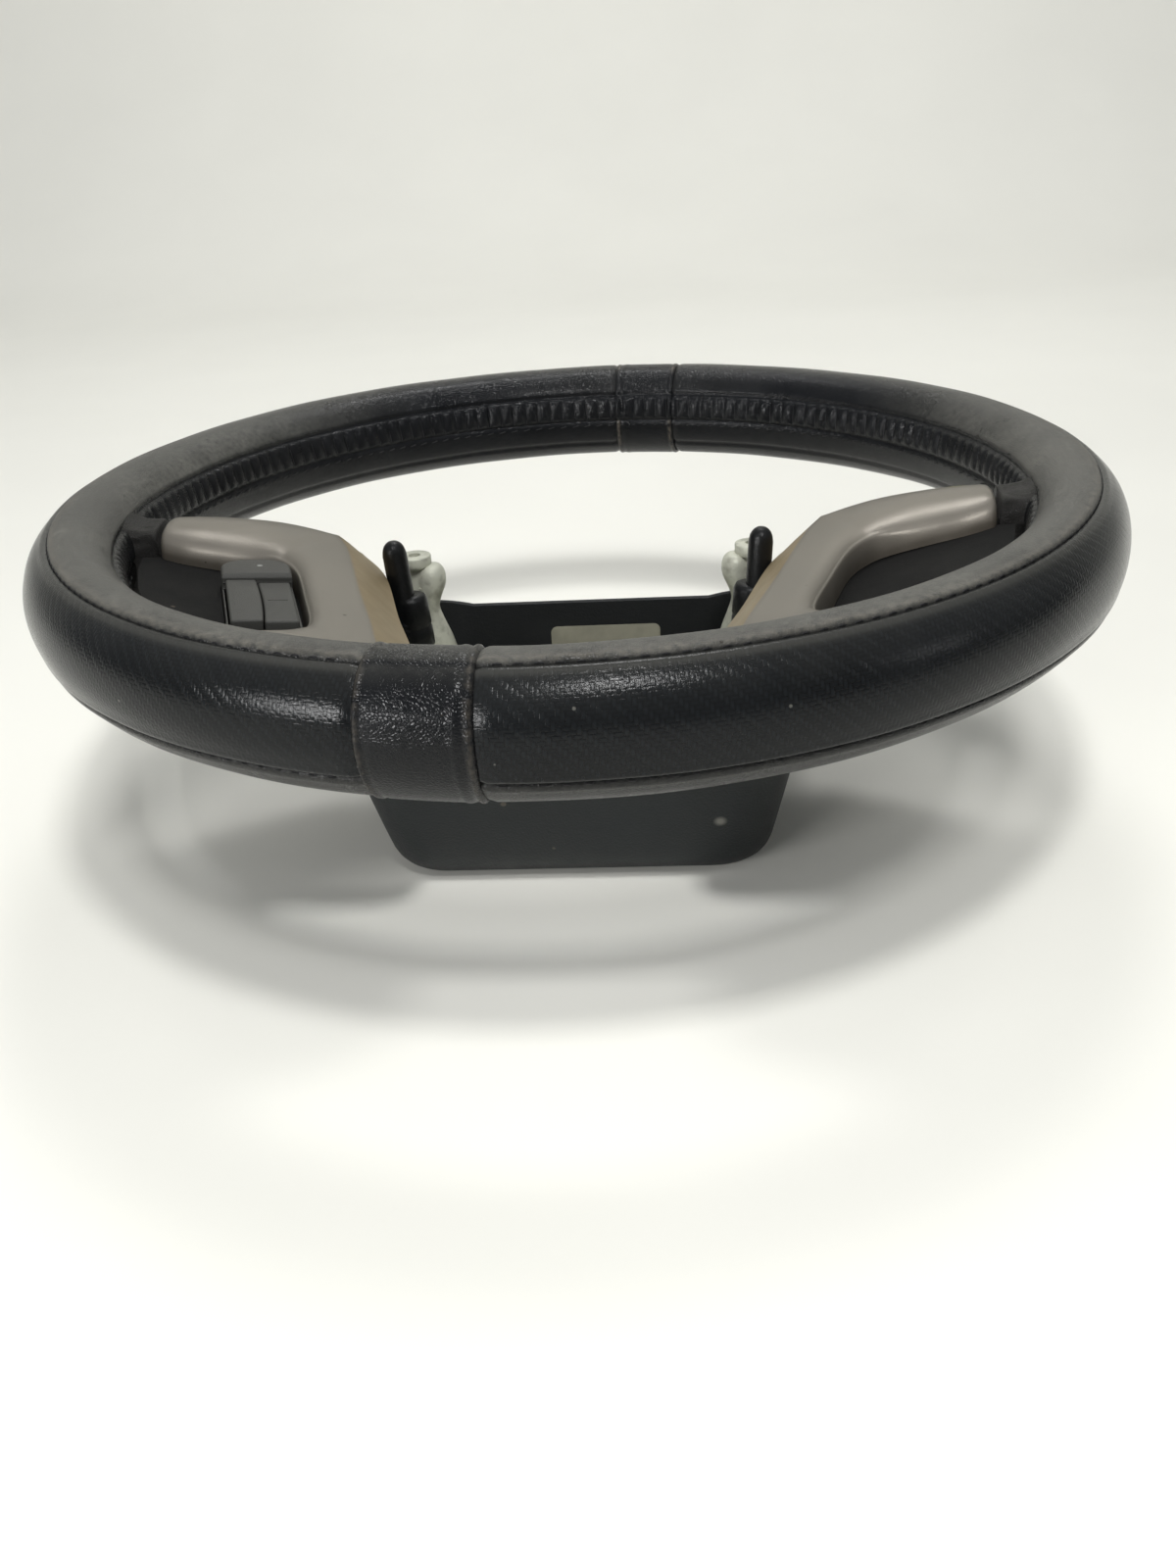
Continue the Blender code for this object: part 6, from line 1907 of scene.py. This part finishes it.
def pod_outline(grow):
    """The pod in plan, with rounded head corners."""
    half = POD_HALF_WIDTH + grow
    head = POD_HEAD + grow
    foot = POD_FOOT - grow
    outline = [(-half, foot), (half, foot)]
    for side, first in ((1, 0.0), (-1, 90.0)):
        for step in range(9):
            turn = math.radians(first + 90.0 * step / 8)
            u = side * (half - POD_CORNER) + POD_CORNER * math.cos(turn)
            outline.append((u, head - POD_CORNER + POD_CORNER * math.sin(turn)))
    return outline


def level(outline, height):
    """An outline at a height."""
    return [(u, v, height) for u, v in outline]


def box_loops(u, v, w):
    """The two ends of a box, from its (low, high) along each of the pod's axes."""
    corners = ((u[0], v[0]), (u[1], v[0]), (u[1], v[1]), (u[0], v[1]))
    return [level(corners, w[0]), level(corners, w[1])]


def key_divide(v):
    """Where the two keys meet: a gentle curve towards the foot, in millimetres."""
    share = (v - KEY_FOOT) / (MODE_HEAD - KEY_FOOT)
    return 0.7 * math.sin(math.pi * share) - 0.35


def make_housing():
    """The pod's housing: a hood at the head, a well for the keys and a recess behind."""
    sections = ((0.0, -17.0), (0.0, 0.6), (-0.35, 1.25), (-1.2, 1.6))
    housing = pod_solid("pod_housing", [level(pod_outline(grow), height) for grow, height in sections])
    wide = (-20, 20)
    well = (-WELL_HALF_WIDTH, WELL_HALF_WIDTH)
    combined(housing, pod_solid("above", box_loops(wide, (-40, WELL_HEAD), (-1.4, 20))))
    slope = [[(u, 17.6, -0.6), (u, 21.2, 2.6), (u, 17.6, 2.6)] for u in (-13.0, 13.0)]
    combined(housing, pod_solid("slope", slope))
    combined(housing, pod_solid("rim", box_loops(wide, (-40, WELL_HEAD), (-3.4, 20))))
    combined(housing, pod_solid("well", box_loops(well, (-24.1, WELL_HEAD), (-11.5, 20))))
    combined(housing, pod_solid("recess", box_loops(well, (-23.0, 27.0), (-30, -12.9))))
    rounded(housing, 0.35 * MM)
    dressed(housing, "key_plastic", ["switch_housing"], crease=30.0)


def key_loops(column, head, drop):
    """A key's outline with its curved side, at its foot and its face."""
    spots = np.linspace(KEY_FOOT, head, 9)
    curved = [(key_divide(v) + column * KEY_GAP, v) for v in spots]
    outer = [(column * KEY_EDGE, head), (column * KEY_EDGE, KEY_FOOT)]
    outline = curved + outer if column > 0 else outer[::-1] + curved[::-1]
    return [level(outline, -KEY_DEPTH - drop), level(outline, -drop)]


def make_keys():
    """The mode key, and the rocker key with its groove."""
    mode = pod_solid("mode_button_cap", key_loops(-1, MODE_HEAD, 0.0))
    rounded(mode, 0.8 * MM, 4)
    dressed(mode, "key_plastic", ["mode_key"], body="mode_button", crease=35.0)
    rocker = pod_solid("rocker_cap", key_loops(1, ROCKER_HEAD, 0.6))
    rounded(rocker, 0.8 * MM, 4)
    combined(rocker, pod_solid("groove", box_loops((2.2, 8.6), (-2.95, -2.45), (-1.05, 2.0))))
    dressed(rocker, "key_plastic", ["rocker_key"], body="rocker", crease=35.0)


# What stays as it was packed


def finish_nodes():
    """Gives each node that still shows the finish of its slot."""
    slots = {row["node"]: row["material_slot"] for row in frame["record"]["subparts"]}
    for name, node in frame["nodes"].items():
        if node.hide_render:
            continue
        node.data.materials.clear()
        node.data.materials.append(FINISHES[slots[name]])


# The stage

# Each lamp's name, place, target, size, share of the main lamp's power, and whether it is mirrored
RIM_MIDDLE = (0.0, 0.0, RIM_HEIGHT)
LAMPS = (
    ("main lamp", (0.09, -0.44, 0.95), RIM_MIDDLE, (0.12, 0.12), 1.0, False),
    ("rear fill", (0.05, 0.75, 1.62), RIM_MIDDLE, (0.45, 0.3), 1.45, True),
    ("front strip", (0.28, -1.28, 1.78), RIM_MIDDLE, (0.3, 0.35), 3.2, True),
    ("left window", (-1.39, -1.58, 0.58), RIM_MIDDLE, (1.0, 0.25), 4.9, True),
    ("right lamp", (1.95, -0.68, 0.7), RIM_MIDDLE, (0.15, 0.15), 0.2, True),
    ("backdrop lamp", (0.0, 0.9, 1.7), (0.0, 2.1, 0.6), (1.8, 0.4), 2.3, True),
)

# The room's light: its tint, and its strength from the sides and from above
ROOM_TINT = (0.93, 0.96, 1.0, 1.0)
SIDE_LIGHT = 0.08
TOP_LIGHT = 0.4


def make_floor(stage):
    """A floor that curves up into a backdrop."""
    radius = 0.9
    near = -3.0
    far = 2.2
    top = 4.0
    half_width = 5.0
    profile = [(near, 0.0), (far - radius, 0.0)]
    for step in range(1, 17):
        turn = math.radians(90.0 * step / 16)
        profile.append((far - radius + radius * math.sin(turn), radius - radius * math.cos(turn)))
    profile.append((far, top))
    points = [(x, y, z) for y, z in profile for x in (-half_width, half_width)]
    faces = [(2 * row, 2 * row + 1, 2 * row + 3, 2 * row + 2) for row in range(len(profile) - 1)]
    mesh = bpy.data.meshes.new("floor")
    mesh.from_pydata(points, [], faces)
    floor = bpy.data.objects.new("floor", mesh)
    bpy.context.scene.collection.objects.link(floor)
    mesh.shade_smooth()
    surface = Finish("pale floor", 0.85, specular=0.2)
    patches = surface.effect("Cloudy patches", Size=0.25, Detail=3.0)
    surface.colour(surface.mixed(patches, paint(stage.floor, 0.97), paint(stage.floor)))
    mesh.materials.append(surface.material)


def make_camera(stage):
    data = bpy.data.cameras.new("photo camera")
    data.sensor_width = 36.0
    data.lens = stage.lens
    camera = bpy.data.objects.new("photo camera", data)
    bpy.context.scene.collection.objects.link(camera)
    aim = Vector(stage.camera_aim).normalized()
    turn = aim.to_track_quat("-Z", "Y").to_matrix().to_4x4()
    camera.matrix_world = (
        Matrix.Translation(stage.camera_place) @ turn @ Matrix.Rotation(-stage.camera_roll, 4, "Z")
    )
    bpy.context.scene.camera = camera


def make_lamp(name, place, target, size, power, mirrored):
    """An area lamp that shines on a target and that the camera does not see."""
    data = bpy.data.lights.new(name, "AREA")
    data.shape = "RECTANGLE"
    data.size, data.size_y = size
    data.energy = power
    lamp = bpy.data.objects.new(name, data)
    lamp.location = place
    lamp.rotation_euler = (Vector(target) - Vector(place)).to_track_quat("-Z", "Y").to_euler()
    lamp.visible_camera = False
    lamp.visible_glossy = mirrored
    bpy.context.scene.collection.objects.link(lamp)


def make_stage(stage):
    scene = bpy.context.scene
    scene.view_settings.view_transform = "Standard"
    make_floor(stage)
    make_camera(stage)
    for name, place, target, size, share, mirrored in LAMPS:
        make_lamp(name, place, target, size, share * stage.lamp_power, mirrored)
    scene.world = soft_room()


def soft_room():
    """Light from all round, brighter from above than from the sides."""
    world = bpy.data.worlds.new("soft room")
    world.use_nodes = True
    tree = world.node_tree
    around = add(tree, "ShaderNodeTexCoord")
    parts = add(tree, "ShaderNodeSeparateXYZ", {"Vector": around.outputs["Generated"]})
    shader = tree.nodes["Background"]
    shader.inputs["Color"].default_value = ROOM_TINT
    strength = spread(tree, parts.outputs["Z"], 0.05, 0.7, SIDE_LIGHT, TOP_LIGHT)
    put(tree, shader.inputs["Strength"], strength)
    return world


# Operators


class WheelStage(bpy.types.Operator):
    """Set up the finishes, floor, lamps and camera"""

    bl_idname = "wheel.stage"
    bl_label = "Stage"

    def execute(self, context):
        build_finishes(context.scene.wheel_colours)
        make_stage(context.scene.wheel_stage)
        return {"FINISHED"}


class WheelGrip(bpy.types.Operator):
    """Cover the rim with foam, leather strips and joint bands"""

    bl_idname = "wheel.grip"
    bl_label = "Leather grip"

    def execute(self, context):
        make_grip(context.scene.wheel_grip)
        return {"FINISHED"}


class WheelLacing(bpy.types.Operator):
    """Sew the seams and lace the inside of the grip"""

    bl_idname = "wheel.lacing"
    bl_label = "Stitches and lacing"

    def execute(self, context):
        make_lacing(context.scene.wheel_grip)
        return {"FINISHED"}


class WheelSpokes(bpy.types.Operator):
    """Make the bezels, backs, screws and sleeves of the spokes"""

    bl_idname = "wheel.spokes"
    bl_label = "Spokes"

    def execute(self, context):
        make_spokes(context.scene.wheel_spokes, context.scene.wheel_grip)
        return {"FINISHED"}


class WheelHub(bpy.types.Operator):
    """Make the casting, the splined bush and the guide pins"""

    bl_idname = "wheel.hub"
    bl_label = "Hub"

    def execute(self, context):
        make_hub()
        return {"FINISHED"}


class WheelRearCover(bpy.types.Operator):
    """Make the rear cover, its screws and its blank sticker"""

    bl_idname = "wheel.rear_cover"
    bl_label = "Rear cover"

    def execute(self, context):
        make_rear_cover(context.scene.wheel_spokes)
        make_cover_screws()
        make_label()
        return {"FINISHED"}


class WheelSwitches(bpy.types.Operator):
    """Make the switch pod and its keys"""

    bl_idname = "wheel.switches"
    bl_label = "Switch pod"

    def execute(self, context):
        make_housing()
        make_keys()
        return {"FINISHED"}


class WheelNodes(bpy.types.Operator):
    """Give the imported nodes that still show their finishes"""

    bl_idname = "wheel.nodes"
    bl_label = "Packed nodes"

    def execute(self, context):
        finish_nodes()
        return {"FINISHED"}


OPERATORS = (
    WheelStage,
    WheelGrip,
    WheelLacing,
    WheelSpokes,
    WheelHub,
    WheelRearCover,
    WheelSwitches,
    WheelNodes,
)


class WheelPanel(bpy.types.Panel):
    """The wheel's pieces, in the sidebar"""

    bl_idname = "VIEW3D_PT_wheel"
    bl_label = "Steering wheel"
    bl_space_type = "VIEW_3D"
    bl_region_type = "UI"
    bl_category = "Wheel"

    def draw(self, context):
        for operator in OPERATORS:
            self.layout.operator(operator.bl_idname)


SETTINGS = {
    "wheel_grip": GripSettings,
    "wheel_spokes": SpokeSettings,
    "wheel_colours": ColourSettings,
    "wheel_stage": StageSettings,
}


def register():
    for group in SETTINGS.values():
        bpy.utils.register_class(group)
    for operator in OPERATORS:
        bpy.utils.register_class(operator)
    bpy.utils.register_class(WheelPanel)
    for name, group in SETTINGS.items():
        setattr(bpy.types.Scene, name, bpy.props.PointerProperty(type=group))


def unregister():
    for name in SETTINGS:
        delattr(bpy.types.Scene, name)
    bpy.utils.unregister_class(WheelPanel)
    for operator in reversed(OPERATORS):
        bpy.utils.unregister_class(operator)
    for group in reversed(list(SETTINGS.values())):
        bpy.utils.unregister_class(group)


def main():
    register()
    bpy.ops.wheel.stage()
    bpy.ops.wheel.grip()
    bpy.ops.wheel.lacing()
    bpy.ops.wheel.spokes()
    bpy.ops.wheel.hub()
    bpy.ops.wheel.rear_cover()
    bpy.ops.wheel.switches()
    bpy.ops.wheel.nodes()


if __name__ == "__main__":
    main()
